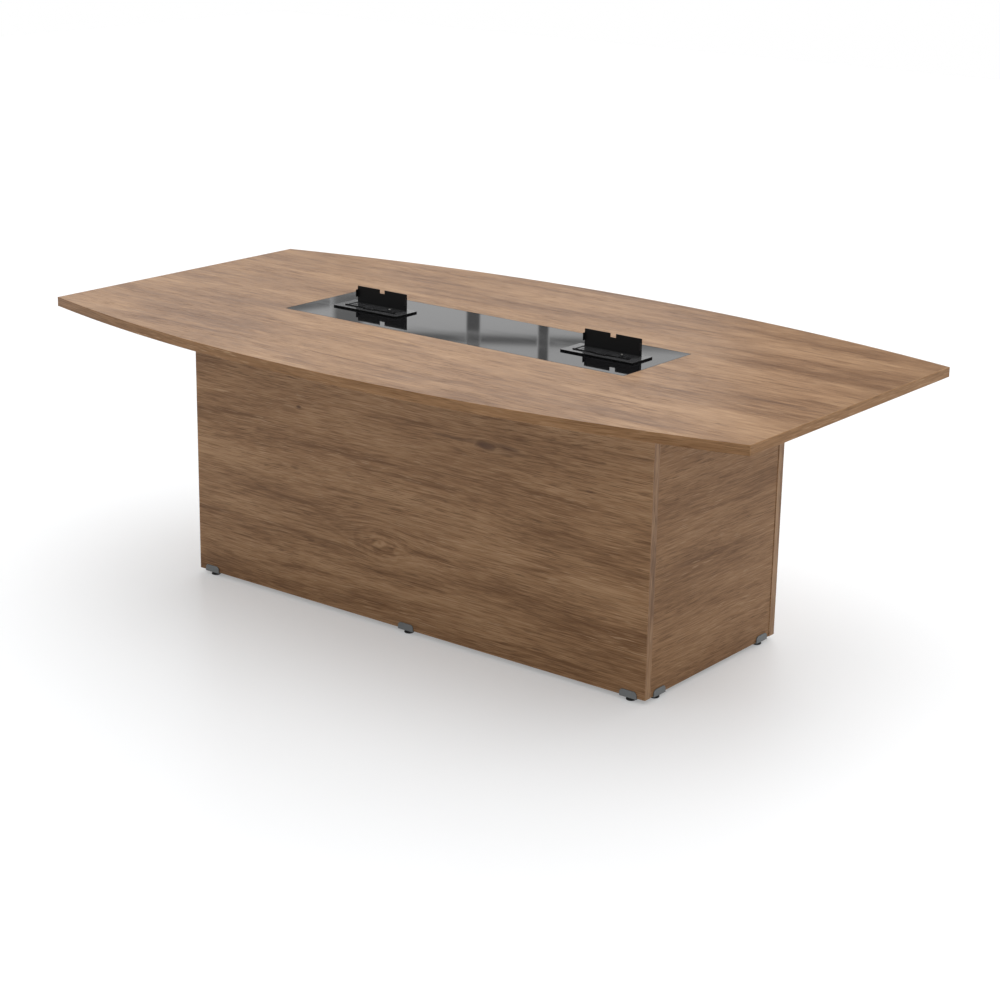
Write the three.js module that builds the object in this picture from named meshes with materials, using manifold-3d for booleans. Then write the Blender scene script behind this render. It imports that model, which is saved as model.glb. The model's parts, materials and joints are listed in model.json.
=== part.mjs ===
// Conference table: a boat-shaped board on a box plinth, with a black glass insert that carries
// two flip-lid connection modules. Millimetres, +Z up, +X along the table's length, -Y to its front.
// The origin is on the floor under the middle of the top.

import * as THREE from 'three';
import { mergeVertices } from 'three/addons/utils/BufferGeometryUtils.js';
import Module from 'manifold-3d';

const wasm = await Module();
wasm.setup();

// Table top
const TOP_LENGTH = 2200;
const TOP_END_WIDTH = 920;
const TOP_MID_WIDTH = 1210;
const TOP_HEIGHT = 750;
const TOP_THICKNESS = 25;
const BOW_STEPS = 48;
const BAND_THICKNESS = 2;
const BAND_ROUND = 1;

// Glass insert
const GLASS_LENGTH = 1100;
const GLASS_WIDTH = 295;
const GLASS_THICKNESS = 6;
const GLASS_CORNER = 3;
const GLASS_ARRIS = 0.5;
const GLASS_JOINT = 1;

// Connection modules: the pair is set a little to the right of the table's middle
const MODULE_SPACING = 756;
const MODULE_OFFSET = 16.5;

// Module lid and hinge
const LID_LENGTH = 173;
const LID_REACH = 46.8;
const LID_THICKNESS = 1.5;
const LID_CORNER = 1;
const LID_SIDE_CLEARANCE = 0.7;
const LID_EDGE_CLEARANCE = 0.5;
const LID_NOTCH_WIDTH = 17;
const LID_NOTCH_DEPTH = 10;
const EAR_LENGTH = 20;
const EAR_DEPTH = 8;
const EAR_THICKNESS = 1.2;
const EAR_RISE = 17;
const EAR_CORNER = 2;
const ROD_RADIUS = 1.5;
const ROD_SEAT = 0.15;
const BARREL_CLEARANCE = 0.25;
const BARREL_WALL = 1;

// Module frame
const FRAME_THICKNESS = 4.2;
const FRAME_SIDE_RAIL = 22.8;
const FRAME_FRONT_RAIL = 23.7;
const FRAME_BACK_RAIL = 13.75;
const FRAME_CORNER = 3;
const FRAME_CHAMFER = 0.5;
const CABLE_NOTCH_WIDTH = 30;
const CABLE_NOTCH_DEPTH = 6;

// Seal lip along the front edge of the opening and round the cable notch
const SEAL_SET = 0.8;
const SEAL_WIDTH = 1.5;
const SEAL_HEIGHT = 1;

// Module well, socket deck and clamps
const WELL_HEIGHT = 56;
const WELL_WALL = 2;
const WELL_CLEARANCE = 1;
const WELL_CUTOUT_GAP = 2;
const WELL_CUTOUT_CORNER = 3;
const DECK_LID_GAP = 0.4;
const DECK_THICKNESS = 3;
const DECK_CLEARANCE = 0.3;
const DECK_BARREL_GAP = 0.5;
const EAR_SLOT_GAP = 1.5;
const EAR_SLOT_SIDE = 0.6;
const LEDGE_WIDTH = 2;
const LEDGE_THICKNESS = 2;
const CLAMP_WIDTH = 24;
const CLAMP_THICKNESS = 2.5;
const CLAMP_REACH = 26;
const CLAMP_DROP = 22;

// Socket inserts
const INSERT_SIZE = 40;
const INSERT_CORNER = 2;
const INSERT_FLANGE = 1.5;
const INSERT_LIP = 2;
const INSERT_CLEARANCE = 0.25;
const POWER_BODY_DEPTH = 21;
const POWER_FACE_RADIUS = 16.5;
const POWER_FACE_DEPTH = 0.5;
const PIN_HOLE_RADIUS = 2.4;
const PIN_HOLE_SPACING = 9.5;
const PIN_HOLE_DEPTH = 14;
const DATA_BODY_DEPTH = 18;
const PORT_WIDTH = 12;
const PORT_HEIGHT = 7.5;
const PORT_LATCH_WIDTH = 6;
const PORT_LATCH_HEIGHT = 2;
const PORT_DEPTH = 14;
const PORT_SPACING = 19;

// Plinth
const PLINTH_LENGTH = 1490;
const PLINTH_DEPTH = 590;
const PLINTH_FLOOR_GAP = 12;
const PANEL_THICKNESS = 25;
const PANEL_CHAMFER = 1;
const PANEL_JOINT = 0.5;
const END_PANEL_RECESS = 1.5;
const DIVIDER_PASS_WIDTH = 160;
const DIVIDER_PASS_HEIGHT = 80;
const RAIL_WIDTH = 100;
const RAIL_THICKNESS = 25;
const ANGLE_LEG = 40;
const ANGLE_THICKNESS = 3;
const ANGLE_HEIGHT = 80;

// Levelling feet
const LONG_FOOT_INSET = 48;
const END_FOOT_INSET = 37;
const BRACKET_WIDTH = 50;
const BRACKET_RISE = 16;
const BRACKET_CORNER = 10;
const BRACKET_THICKNESS = 2.5;
const BRACKET_LEG_CORNER = 6;
const BRACKET_GAP = 0.3;
const GLIDE_RADIUS = 12.5;
const GLIDE_PAD_HEIGHT = 4.5;
const GLIDE_PAD_ROUND = 1;
const GLIDE_NECK_RADIUS = 6;
const STEM_RADIUS = 4;
const STEM_LENGTH = 34;
const STEM_CLEARANCE = 0.3;
const STEM_HOLE_DEPTH = 46;

// Gap left by glue, tape or a plain seat between two flat faces
const SEAT_GAP = 0.1;
// How far a cutting solid reaches past the face that it cuts through
const CUT_MARGIN = 1;
const ROUND_SIDES = 24;
const STEM_SIDES = 16;
// A quarter round has twice this many facets, and a band's small round twice the second count
const CORNER_STEPS = 2;
const BAND_ROUND_STEPS = 1;

// Values that follow from the sizes above
const bowRise = (TOP_MID_WIDTH - TOP_END_WIDTH) / 2;
const bowRadius = ((TOP_LENGTH / 2) ** 2 + bowRise ** 2) / (2 * bowRise);
const bowCentre = TOP_MID_WIDTH / 2 - bowRadius;
const boardHalf = TOP_LENGTH / 2 - BAND_THICKNESS - SEAT_GAP;
const boardUnderside = TOP_HEIGHT - TOP_THICKNESS;
const glassUnderside = TOP_HEIGHT - GLASS_THICKNESS;

const barrelRadius = ROD_RADIUS + BARREL_CLEARANCE + BARREL_WALL;
const frameTop = SEAT_GAP + FRAME_THICKNESS;
const hingeHeight = frameTop - barrelRadius;
const openingHalf = LID_LENGTH / 2 + LID_SIDE_CLEARANCE;
const openingFront = -(LID_REACH + LID_EDGE_CLEARANCE);
const openingBack = barrelRadius + LID_EDGE_CLEARANCE;
const frameHalf = openingHalf + FRAME_SIDE_RAIL;
const frameFront = openingFront - FRAME_FRONT_RAIL;
const frameBack = openingBack + FRAME_BACK_RAIL;
const moduleHingeY = -(frameFront + frameBack) / 2;
const wellInnerHalf = openingHalf + WELL_CLEARANCE;
const wellInnerFront = openingFront - CABLE_NOTCH_DEPTH - WELL_CLEARANCE;
const wellInnerBack = openingBack + WELL_CLEARANCE;
const wellOuterHalf = wellInnerHalf + WELL_WALL;
const wellMiddle = (wellInnerFront + wellInnerBack) / 2;
const deckTop = frameTop - LID_THICKNESS - DECK_LID_GAP;
const deckHalf = openingHalf - DECK_CLEARANCE;
const deckFront = openingFront + DECK_CLEARANCE;
const deckBack = -(barrelRadius + DECK_BARREL_GAP);
const deckMiddle = (deckFront + deckBack) / 2;
const earSlotHalf = LID_LENGTH / 2 - EAR_THICKNESS - EAR_SLOT_SIDE;
const earSlotFront = -(EAR_RISE + EAR_LENGTH + EAR_SLOT_GAP);
const earSlotBack = -(EAR_RISE - EAR_SLOT_GAP);
const insertNames = ['power_socket_1', 'power_socket_2', 'data_insert'];
const insertPitch = (2 * wellInnerHalf) / insertNames.length;
const insertBody = INSERT_SIZE - 2 * INSERT_LIP;

const panelTop = boardUnderside - SEAT_GAP;
const panelHeight = panelTop - PLINTH_FLOOR_GAP;
const innerDepth = PLINTH_DEPTH - 2 * PANEL_THICKNESS;
const endPanelOuter = PLINTH_LENGTH / 2 - END_PANEL_RECESS;
const endPanelInner = endPanelOuter - PANEL_THICKNESS;

const modules = [
  { name: 'module_left', x: MODULE_OFFSET - MODULE_SPACING / 2 },
  { name: 'module_right', x: MODULE_OFFSET + MODULE_SPACING / 2 },
];

// Finishes
const finish = (color, roughness, metalness = 0) => (
  new THREE.MeshStandardMaterial({ color, roughness, metalness })
);
const oakDecor = finish(0x8a6a4c, 0.55);
const blackGlass = finish(0x0b0c0d, 0.05);
const blackMetal = finish(0x1a1a1a, 0.4, 0.3);
const steel = finish(0x9a9c9e, 0.35, 0.9);
const blackPlastic = finish(0x202123, 0.55);
const greyPaint = finish(0x5f6161, 0.5);
const rubber = finish(0x151515, 0.75);

// A closed solid for joining and cutting, from any closed geometry
function toSolid(geometry) {
  const bare = geometry.clone();
  bare.deleteAttribute('normal');
  bare.deleteAttribute('uv');
  const merged = mergeVertices(bare, 1e-4);
  return new wasm.Manifold(new wasm.Mesh({
    numProp: 3,
    vertProperties: new Float32Array(merged.attributes.position.array),
    triVerts: new Uint32Array(merged.index.array),
  }));
}

// The geometry of a joined or cut solid
function toGeometry(solid) {
  const mesh = solid.getMesh();
  const geometry = new THREE.BufferGeometry();
  geometry.setAttribute('position', new THREE.BufferAttribute(new Float32Array(mesh.vertProperties), 3));
  geometry.setIndex(new THREE.BufferAttribute(new Uint32Array(mesh.triVerts), 1));
  const flat = geometry.toNonIndexed();
  flat.computeVertexNormals();
  return flat;
}

// The pieces joined into one body, less the cuts
function carve(pieces, cuts = []) {
  const joined = pieces.map(toSolid).reduce((whole, piece) => whole.add(piece));
  return toGeometry(cuts.map(toSolid).reduce((whole, cut) => whole.subtract(cut), joined));
}

// A named mesh in a group
function addMesh(group, name, geometry, material) {
  const mesh = new THREE.Mesh(geometry, material);
  mesh.name = name;
  group.add(mesh);
  return mesh;
}

// A box between two opposite corners
function boxBetween(low, high) {
  const size = high.map((value, axis) => value - low[axis]);
  const box = new THREE.BoxGeometry(...size);
  return box.translate(...size.map((value, axis) => low[axis] + value / 2));
}

// A rectangle with round corners, between two opposite corners
function roundedRectangle(left, low, right, high, radius, Kind = THREE.Shape) {
  const outline = new Kind();
  outline.moveTo(left + radius, low);
  outline.lineTo(right - radius, low);
  outline.absarc(right - radius, low + radius, radius, -Math.PI / 2, 0);
  outline.lineTo(right, high - radius);
  outline.absarc(right - radius, high - radius, radius, 0, Math.PI / 2);
  outline.lineTo(left + radius, high);
  outline.absarc(left + radius, high - radius, radius, Math.PI / 2, Math.PI);
  outline.lineTo(left, low + radius);
  outline.absarc(left + radius, low + radius, radius, Math.PI, 1.5 * Math.PI);
  outline.closePath();
  return outline;
}

// A shape raised from one height to another, with an optional chamfer on its edges
function raise(shape, low, high, chamfer = 0) {
  const geometry = new THREE.ExtrudeGeometry(shape, {
    depth: high - low - 2 * chamfer,
    curveSegments: CORNER_STEPS,
    bevelEnabled: chamfer > 0,
    bevelThickness: chamfer,
    bevelSize: chamfer,
    bevelOffset: -chamfer,
    bevelSegments: 1,
  });
  return geometry.translate(0, 0, low + chamfer);
}

// A shape drawn in X and Z, given a thickness from one Y to another
function standUp(shape, front, back) {
  return raise(shape, -back, -front).rotateX(Math.PI / 2);
}

// A shape drawn in Y and Z, given a thickness from one X to another
function faceAlongX(shape, left, right) {
  return raise(shape, left, right).rotateX(Math.PI / 2).rotateZ(Math.PI / 2);
}

// A round bar along X, centred on x = 0
function roundBarX(radius, length, y, z) {
  const bar = new THREE.CylinderGeometry(radius, radius, length, ROUND_SIDES);
  return bar.rotateZ(Math.PI / 2).translate(0, y, z);
}

// An upright round bar between two heights
function roundBarZ(radius, low, high, x, y, sides = ROUND_SIDES) {
  const bar = new THREE.CylinderGeometry(radius, radius, high - low, sides);
  return bar.rotateX(Math.PI / 2).translate(x, y, (low + high) / 2);
}

// A closed skin over rings of points, with flat ends; the first ring's outline is given in two dimensions
function loft(rings, outline) {
  const count = outline.length;
  const faces = [];
  for (let ring = 0; ring + 1 < rings.length; ring += 1) {
    for (let point = 0; point < count; point += 1) {
      const next = (point + 1) % count;
      const [a, b] = [ring * count + point, ring * count + next];
      faces.push([a, b, b + count], [a, b + count, a + count]);
    }
  }
  const last = (rings.length - 1) * count;
  for (const [a, b, c] of THREE.ShapeUtils.triangulateShape(outline, [])) {
    faces.push([c, b, a], [last + a, last + b, last + c]);
  }
  const points = rings.flat();
  const wedge = (a, b, c) => points[a].dot(points[b].clone().cross(points[c]));
  const volume = faces.reduce((sum, face) => sum + wedge(...face), 0);
  const outward = volume < 0 ? faces.map(([a, b, c]) => [c, b, a]) : faces;
  const geometry = new THREE.BufferGeometry().setFromPoints(points);
  geometry.setIndex(outward.flat());
  const flat = geometry.toNonIndexed();
  flat.computeVertexNormals();
  return flat;
}

// Half width of the top at a station along it, on an arc that lies inside the outer one by a depth
function bowWidth(x, depth = 0) {
  return bowCentre + Math.sqrt((bowRadius - depth) ** 2 - x ** 2);
}

// Stations along the bow, from end to end of the board
function bowStations() {
  return Array.from({ length: BOW_STEPS + 1 }, (_, step) => boardHalf * ((2 * step) / BOW_STEPS - 1));
}

// Section of an edge band: across from the board, and up from the underside, with round outer corners
function bandSection() {
  const section = new THREE.Shape();
  section.moveTo(0, 0);
  section.lineTo(BAND_THICKNESS - BAND_ROUND, 0);
  section.absarc(BAND_THICKNESS - BAND_ROUND, BAND_ROUND, BAND_ROUND, -Math.PI / 2, 0);
  section.lineTo(BAND_THICKNESS, TOP_THICKNESS - BAND_ROUND);
  section.absarc(BAND_THICKNESS - BAND_ROUND, TOP_THICKNESS - BAND_ROUND, BAND_ROUND, 0, Math.PI / 2);
  section.lineTo(0, TOP_THICKNESS);
  section.closePath();
  return section.extractPoints(BAND_ROUND_STEPS).shape.slice(0, -1);
}

// Edge band along a bowed side; side is -1 at the front and 1 at the rear
function bowedBand(side) {
  const section = bandSection();
  const rings = bowStations().map((x) => section.map(
    ({ x: across, y: up }) => new THREE.Vector3(
      x, side * bowWidth(x, BAND_THICKNESS - across), boardUnderside + up,
    ),
  ));
  return loft(rings, section);
}

// Edge band across a straight end, cut to the bow at both corners.
// side is -1 at the left and 1 at the right
function endBand(side) {
  const section = bandSection();
  const rings = [-1, 1].map((corner) => section.map(({ x: across, y: up }) => {
    const x = TOP_LENGTH / 2 - BAND_THICKNESS + across;
    return new THREE.Vector3(side * x, corner * bowWidth(x), boardUnderside + up);
  }));
  return loft(rings, section);
}

// Outline of the cut-out for a module's well, in the glass and in the board
function wellCutout(x, Kind) {
  const half = wellOuterHalf + WELL_CUTOUT_GAP;
  const front = moduleHingeY + wellInnerFront - WELL_WALL - WELL_CUTOUT_GAP;
  const back = moduleHingeY + wellInnerBack + WELL_WALL + WELL_CUTOUT_GAP;
  return roundedRectangle(x - half, front, x + half, back, WELL_CUTOUT_CORNER, Kind);
}

// The board, with the pocket that the glass lies in and the wells' cut-outs through its floor
function boardGeometry() {
  const inset = BAND_THICKNESS + SEAT_GAP;
  const front = bowStations().map((x) => new THREE.Vector2(x, -bowWidth(x, inset)));
  const rear = bowStations().reverse().map((x) => new THREE.Vector2(x, bowWidth(x, inset)));
  const blank = raise(new THREE.Shape([...front, ...rear]), boardUnderside, TOP_HEIGHT);
  const half = GLASS_LENGTH / 2 + GLASS_JOINT;
  const halfWidth = GLASS_WIDTH / 2 + GLASS_JOINT;
  const pocketOutline = roundedRectangle(-half, -halfWidth, half, halfWidth, GLASS_CORNER + GLASS_JOINT);
  const pocket = raise(pocketOutline, glassUnderside - SEAT_GAP, TOP_HEIGHT + CUT_MARGIN);
  const holes = modules.map(({ x }) => raise(wellCutout(x), boardUnderside - CUT_MARGIN, TOP_HEIGHT));
  return carve([blank], [pocket, ...holes]);
}

// The glass, with a ground arris on every edge and a cut-out for each module
function glassGeometry() {
  const half = GLASS_LENGTH / 2;
  const outline = roundedRectangle(-half, -GLASS_WIDTH / 2, half, GLASS_WIDTH / 2, GLASS_CORNER);
  outline.holes = modules.map(({ x }) => wellCutout(x, THREE.Path));
  return raise(outline, glassUnderside, TOP_HEIGHT, GLASS_ARRIS);
}

// The flange frame round a module's opening, with a cable notch in its front rail and seats for the rod
function frameGeometry() {
  const outline = roundedRectangle(-frameHalf, frameFront, frameHalf, frameBack, FRAME_CORNER);
  const notch = CABLE_NOTCH_WIDTH / 2;
  const opening = new THREE.Path();
  opening.moveTo(-openingHalf, openingFront);
  opening.lineTo(-notch, openingFront);
  opening.lineTo(-notch, openingFront - CABLE_NOTCH_DEPTH);
  opening.lineTo(notch, openingFront - CABLE_NOTCH_DEPTH);
  opening.lineTo(notch, openingFront);
  opening.lineTo(openingHalf, openingFront);
  opening.lineTo(openingHalf, openingBack);
  opening.lineTo(-openingHalf, openingBack);
  opening.closePath();
  outline.holes = [opening];
  const plate = raise(outline, SEAT_GAP, frameTop, FRAME_CHAMFER);
  const rodSeat = roundBarX(ROD_RADIUS + ROD_SEAT, 2 * (wellOuterHalf + ROD_SEAT), 0, hingeHeight);
  return carve([plate], [rodSeat]);
}

// The seal: a rubber lip on the frame, along the front edge of the opening and round the cable notch
function sealGeometry() {
  const half = LID_LENGTH / 2;
  const line = (set) => {
    const notch = CABLE_NOTCH_WIDTH / 2 + set;
    const front = openingFront - set;
    const low = front - CABLE_NOTCH_DEPTH;
    return [[-half, front], [-notch, front], [-notch, low], [notch, low], [notch, front], [half, front]];
  };
  const points = [...line(SEAL_SET), ...line(SEAL_SET + SEAL_WIDTH).reverse()];
  const outline = new THREE.Shape(points.map(([x, y]) => new THREE.Vector2(x, y)));
  const seat = frameTop + SEAT_GAP;
  return raise(outline, seat, seat + SEAL_HEIGHT);
}

// The lid, standing open: a plate with a notch in its free edge, two ears and a hinge barrel
function lidGeometry() {
  const half = LID_LENGTH / 2;
  const notch = LID_NOTCH_WIDTH / 2;
  const top = LID_REACH;
  const outline = new THREE.Shape();
  outline.moveTo(-half, 0);
  outline.lineTo(half, 0);
  outline.lineTo(half, top - LID_CORNER);
  outline.lineTo(half - LID_CORNER, top);
  outline.lineTo(notch, top);
  outline.lineTo(notch, top - LID_NOTCH_DEPTH);
  outline.lineTo(-notch, top - LID_NOTCH_DEPTH);
  outline.lineTo(-notch, top);
  outline.lineTo(-half + LID_CORNER, top);
  outline.lineTo(-half, top - LID_CORNER);
  outline.closePath();
  const plateFront = barrelRadius - LID_THICKNESS;
  const plate = standUp(outline, plateFront, barrelRadius);
  const earOutline = roundedRectangle(
    plateFront - EAR_DEPTH, EAR_RISE, plateFront + LID_THICKNESS / 2, EAR_RISE + EAR_LENGTH, EAR_CORNER,
  );
  const ears = [-half, half - EAR_THICKNESS].map((x) => faceAlongX(earOutline, x, x + EAR_THICKNESS));
  const barrel = roundBarX(barrelRadius, LID_LENGTH, 0, 0);
  const bore = roundBarX(ROD_RADIUS + BARREL_CLEARANCE, LID_LENGTH + 2 * CUT_MARGIN, 0, 0);
  return carve([plate, barrel, ...ears], [bore]).translate(0, 0, hingeHeight);
}

// The well: four walls, the rod's notches, and ledges that carry the deck clear of the cable notch and ears
function wellGeometry() {
  const wall = (grow) => [
    -wellInnerHalf - grow, wellInnerFront - grow, wellInnerHalf + grow, wellInnerBack + grow,
  ];
  const outline = roundedRectangle(...wall(WELL_WALL), WELL_WALL / 2);
  outline.holes = [roundedRectangle(...wall(0), WELL_WALL / 2, THREE.Path)];
  const walls = raise(outline, -WELL_HEIGHT, 0);
  const ledgeTop = deckTop - DECK_THICKNESS - SEAT_GAP;
  const ledge = (left, front, right, back) => boxBetween(
    [left, front, ledgeTop - LEDGE_THICKNESS],
    [right, back, ledgeTop],
  );
  const bite = wellInnerHalf + WELL_WALL / 2;
  const front = wellInnerFront - WELL_WALL / 2;
  const notch = CABLE_NOTCH_WIDTH / 2;
  const inside = deckHalf - LEDGE_WIDTH;
  const ledges = [
    ledge(-bite, front, -notch, deckFront + LEDGE_WIDTH),
    ledge(notch, front, bite, deckFront + LEDGE_WIDTH),
    ledge(-bite, earSlotBack, -inside, deckBack),
    ledge(inside, earSlotBack, bite, deckBack),
  ];
  const rodNotch = roundBarX(ROD_RADIUS + ROD_SEAT, 2 * (wellOuterHalf + CUT_MARGIN), 0, hingeHeight);
  return carve([walls, ...ledges], [rodNotch]);
}

// Middle of an insert along the deck
function insertPlace(index) {
  return (index - (insertNames.length - 1) / 2) * insertPitch;
}

// A square with round corners about a place on the deck
function insertSquare(x, y, half, Kind) {
  return roundedRectangle(x - half, y - half, x + half, y + half, INSERT_CORNER, Kind);
}

// The deck just under the closed lid.
// It has a slot at each end for an ear and a rebate for each insert's flange
function deckGeometry() {
  const outline = new THREE.Shape();
  outline.moveTo(-deckHalf, deckFront);
  outline.lineTo(deckHalf, deckFront);
  outline.lineTo(deckHalf, earSlotFront);
  outline.lineTo(earSlotHalf, earSlotFront);
  outline.lineTo(earSlotHalf, earSlotBack);
  outline.lineTo(deckHalf, earSlotBack);
  outline.lineTo(deckHalf, deckBack);
  outline.lineTo(-deckHalf, deckBack);
  outline.lineTo(-deckHalf, earSlotBack);
  outline.lineTo(-earSlotHalf, earSlotBack);
  outline.lineTo(-earSlotHalf, earSlotFront);
  outline.lineTo(-deckHalf, earSlotFront);
  outline.closePath();
  const hole = insertBody / 2 + INSERT_CLEARANCE;
  outline.holes = insertNames.map((_, index) => (
    insertSquare(insertPlace(index), deckMiddle, hole, THREE.Path)
  ));
  const rebate = INSERT_SIZE / 2 + INSERT_CLEARANCE;
  const rebateFloor = deckTop - INSERT_FLANGE - SEAT_GAP;
  const rebates = insertNames.map((_, index) => raise(
    insertSquare(insertPlace(index), deckMiddle, rebate), rebateFloor, deckTop + CUT_MARGIN,
  ));
  return carve([raise(outline, deckTop - DECK_THICKNESS, deckTop)], rebates);
}

// Blank of an insert, its flange's underside at z = 0
function insertBlank(bodyDepth) {
  return [
    raise(insertSquare(0, 0, INSERT_SIZE / 2), 0, INSERT_FLANGE),
    raise(insertSquare(0, 0, insertBody / 2), -bodyDepth, INSERT_FLANGE / 2),
  ];
}

// Power socket: a round face sunk a little into the insert, with three pin holes in a row
function powerSocketGeometry() {
  const floor = INSERT_FLANGE - POWER_FACE_DEPTH;
  const face = roundBarZ(POWER_FACE_RADIUS, floor, INSERT_FLANGE + CUT_MARGIN, 0, 0);
  const pins = [-1, 0, 1].map((place) => roundBarZ(
    PIN_HOLE_RADIUS, floor - PIN_HOLE_DEPTH, floor + CUT_MARGIN, place * PIN_HOLE_SPACING, 0, STEM_SIDES,
  ));
  return carve(insertBlank(POWER_BODY_DEPTH), [face, ...pins]);
}

// Data insert: two ports side by side, each with the step for a plug's latch
function dataInsertGeometry() {
  const floor = INSERT_FLANGE - PORT_DEPTH;
  const ports = [-0.5, 0.5].flatMap((side) => {
    const x = side * PORT_SPACING;
    const port = [PORT_WIDTH / 2, PORT_HEIGHT / 2];
    const latch = [PORT_LATCH_WIDTH / 2, PORT_HEIGHT / 2 + PORT_LATCH_HEIGHT];
    return [
      boxBetween([x - port[0], -port[1], floor], [x + port[0], port[1], INSERT_FLANGE + CUT_MARGIN]),
      boxBetween([x - latch[0], -latch[1], floor], [x + latch[0], 0, INSERT_FLANGE + CUT_MARGIN]),
    ];
  });
  return carve(insertBlank(DATA_BODY_DEPTH), ports);
}

// Clamp: a bent strip from the well's end wall out under the board.
// side is -1 at the left and 1 at the right
function clampGeometry(side) {
  const wallFace = side * (wellOuterHalf + SEAT_GAP);
  const under = -TOP_THICKNESS - SEAT_GAP;
  const strip = new THREE.Shape();
  strip.moveTo(wallFace, under - CLAMP_DROP);
  strip.lineTo(wallFace + side * CLAMP_THICKNESS, under - CLAMP_DROP);
  strip.lineTo(wallFace + side * CLAMP_THICKNESS, under - CLAMP_THICKNESS);
  strip.lineTo(wallFace + side * CLAMP_REACH, under - CLAMP_THICKNESS);
  strip.lineTo(wallFace + side * CLAMP_REACH, under);
  strip.lineTo(wallFace, under);
  strip.closePath();
  return standUp(strip, wellMiddle - CLAMP_WIDTH / 2, wellMiddle + CLAMP_WIDTH / 2);
}

// One connection module, its hinge line over the group's origin and the glass at z = 0
function buildModule({ name, x }) {
  const group = new THREE.Group();
  group.position.set(x, moduleHingeY, TOP_HEIGHT);
  addMesh(group, `${name}_frame`, frameGeometry(), blackMetal);
  addMesh(group, `${name}_seal`, sealGeometry(), rubber);
  addMesh(group, `${name}_lid`, lidGeometry(), blackMetal);
  addMesh(group, `${name}_hinge_rod`, roundBarX(ROD_RADIUS, 2 * wellOuterHalf, 0, hingeHeight), steel);
  addMesh(group, `${name}_well`, wellGeometry(), blackPlastic);
  addMesh(group, `${name}_socket_deck`, deckGeometry(), blackMetal);
  insertNames.forEach((insert, index) => {
    const geometry = insert === 'data_insert' ? dataInsertGeometry() : powerSocketGeometry();
    const mesh = addMesh(group, `${name}_${insert}`, geometry, blackPlastic);
    mesh.position.set(insertPlace(index), deckMiddle, deckTop - INSERT_FLANGE);
  });
  addMesh(group, `${name}_clamp_left`, clampGeometry(-1), steel);
  addMesh(group, `${name}_clamp_right`, clampGeometry(1), steel);
  return group;
}

// A standing board with chamfered upright edges, and blind holes for glide stems in its lower edge
function panelGeometry(length, stemPlaces) {
  const half = [length / 2, PANEL_THICKNESS / 2];
  const outline = new THREE.Shape();
  outline.moveTo(-half[0] + PANEL_CHAMFER, -half[1]);
  outline.lineTo(half[0] - PANEL_CHAMFER, -half[1]);
  outline.lineTo(half[0], -half[1] + PANEL_CHAMFER);
  outline.lineTo(half[0], half[1] - PANEL_CHAMFER);
  outline.lineTo(half[0] - PANEL_CHAMFER, half[1]);
  outline.lineTo(-half[0] + PANEL_CHAMFER, half[1]);
  outline.lineTo(-half[0], half[1] - PANEL_CHAMFER);
  outline.lineTo(-half[0], -half[1] + PANEL_CHAMFER);
  outline.closePath();
  const holes = stemPlaces.map((x) => roundBarZ(
    STEM_RADIUS + STEM_CLEARANCE, -CUT_MARGIN, STEM_HOLE_DEPTH, x, 0, STEM_SIDES,
  ));
  return carve([raise(outline, 0, panelHeight)], holes);
}

// Divider across the plinth, with a pass for cables at the floor
function dividerGeometry() {
  const half = innerDepth / 2 - PANEL_JOINT;
  const pass = DIVIDER_PASS_WIDTH / 2;
  const outline = new THREE.Shape();
  outline.moveTo(-half, 0);
  outline.lineTo(-pass, 0);
  outline.lineTo(-pass, DIVIDER_PASS_HEIGHT);
  outline.lineTo(pass, DIVIDER_PASS_HEIGHT);
  outline.lineTo(pass, 0);
  outline.lineTo(half, 0);
  outline.lineTo(half, panelHeight);
  outline.lineTo(-half, panelHeight);
  outline.closePath();
  return faceAlongX(outline, -PANEL_THICKNESS / 2, PANEL_THICKNESS / 2).translate(0, 0, PLINTH_FLOOR_GAP);
}

// Flat rail under the board, beside an end panel; side is -1 at the left and 1 at the right
function railGeometry(side) {
  const outer = side * (endPanelInner - PANEL_JOINT);
  const inner = outer - side * RAIL_WIDTH;
  const half = innerDepth / 2 - PANEL_JOINT;
  return boxBetween(
    [Math.min(outer, inner), -half, panelTop - RAIL_THICKNESS],
    [Math.max(outer, inner), half, panelTop],
  );
}

// Steel angle in an inner corner of the plinth, at mid height; the signs give the corner
function cornerAngleGeometry(signX, signY) {
  const corner = [signX * (endPanelInner - SEAT_GAP), signY * (innerDepth / 2 - SEAT_GAP)];
  const along = (amount) => corner[0] - signX * amount;
  const across = (amount) => corner[1] - signY * amount;
  const profile = new THREE.Shape();
  profile.moveTo(along(0), across(0));
  profile.lineTo(along(ANGLE_LEG), across(0));
  profile.lineTo(along(ANGLE_LEG), across(ANGLE_THICKNESS));
  profile.lineTo(along(ANGLE_THICKNESS), across(ANGLE_THICKNESS));
  profile.lineTo(along(ANGLE_THICKNESS), across(ANGLE_LEG));
  profile.lineTo(along(0), across(ANGLE_LEG));
  profile.closePath();
  const low = PLINTH_FLOOR_GAP + (panelHeight - ANGLE_HEIGHT) / 2;
  return raise(profile, low, low + ANGLE_HEIGHT);
}

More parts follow.
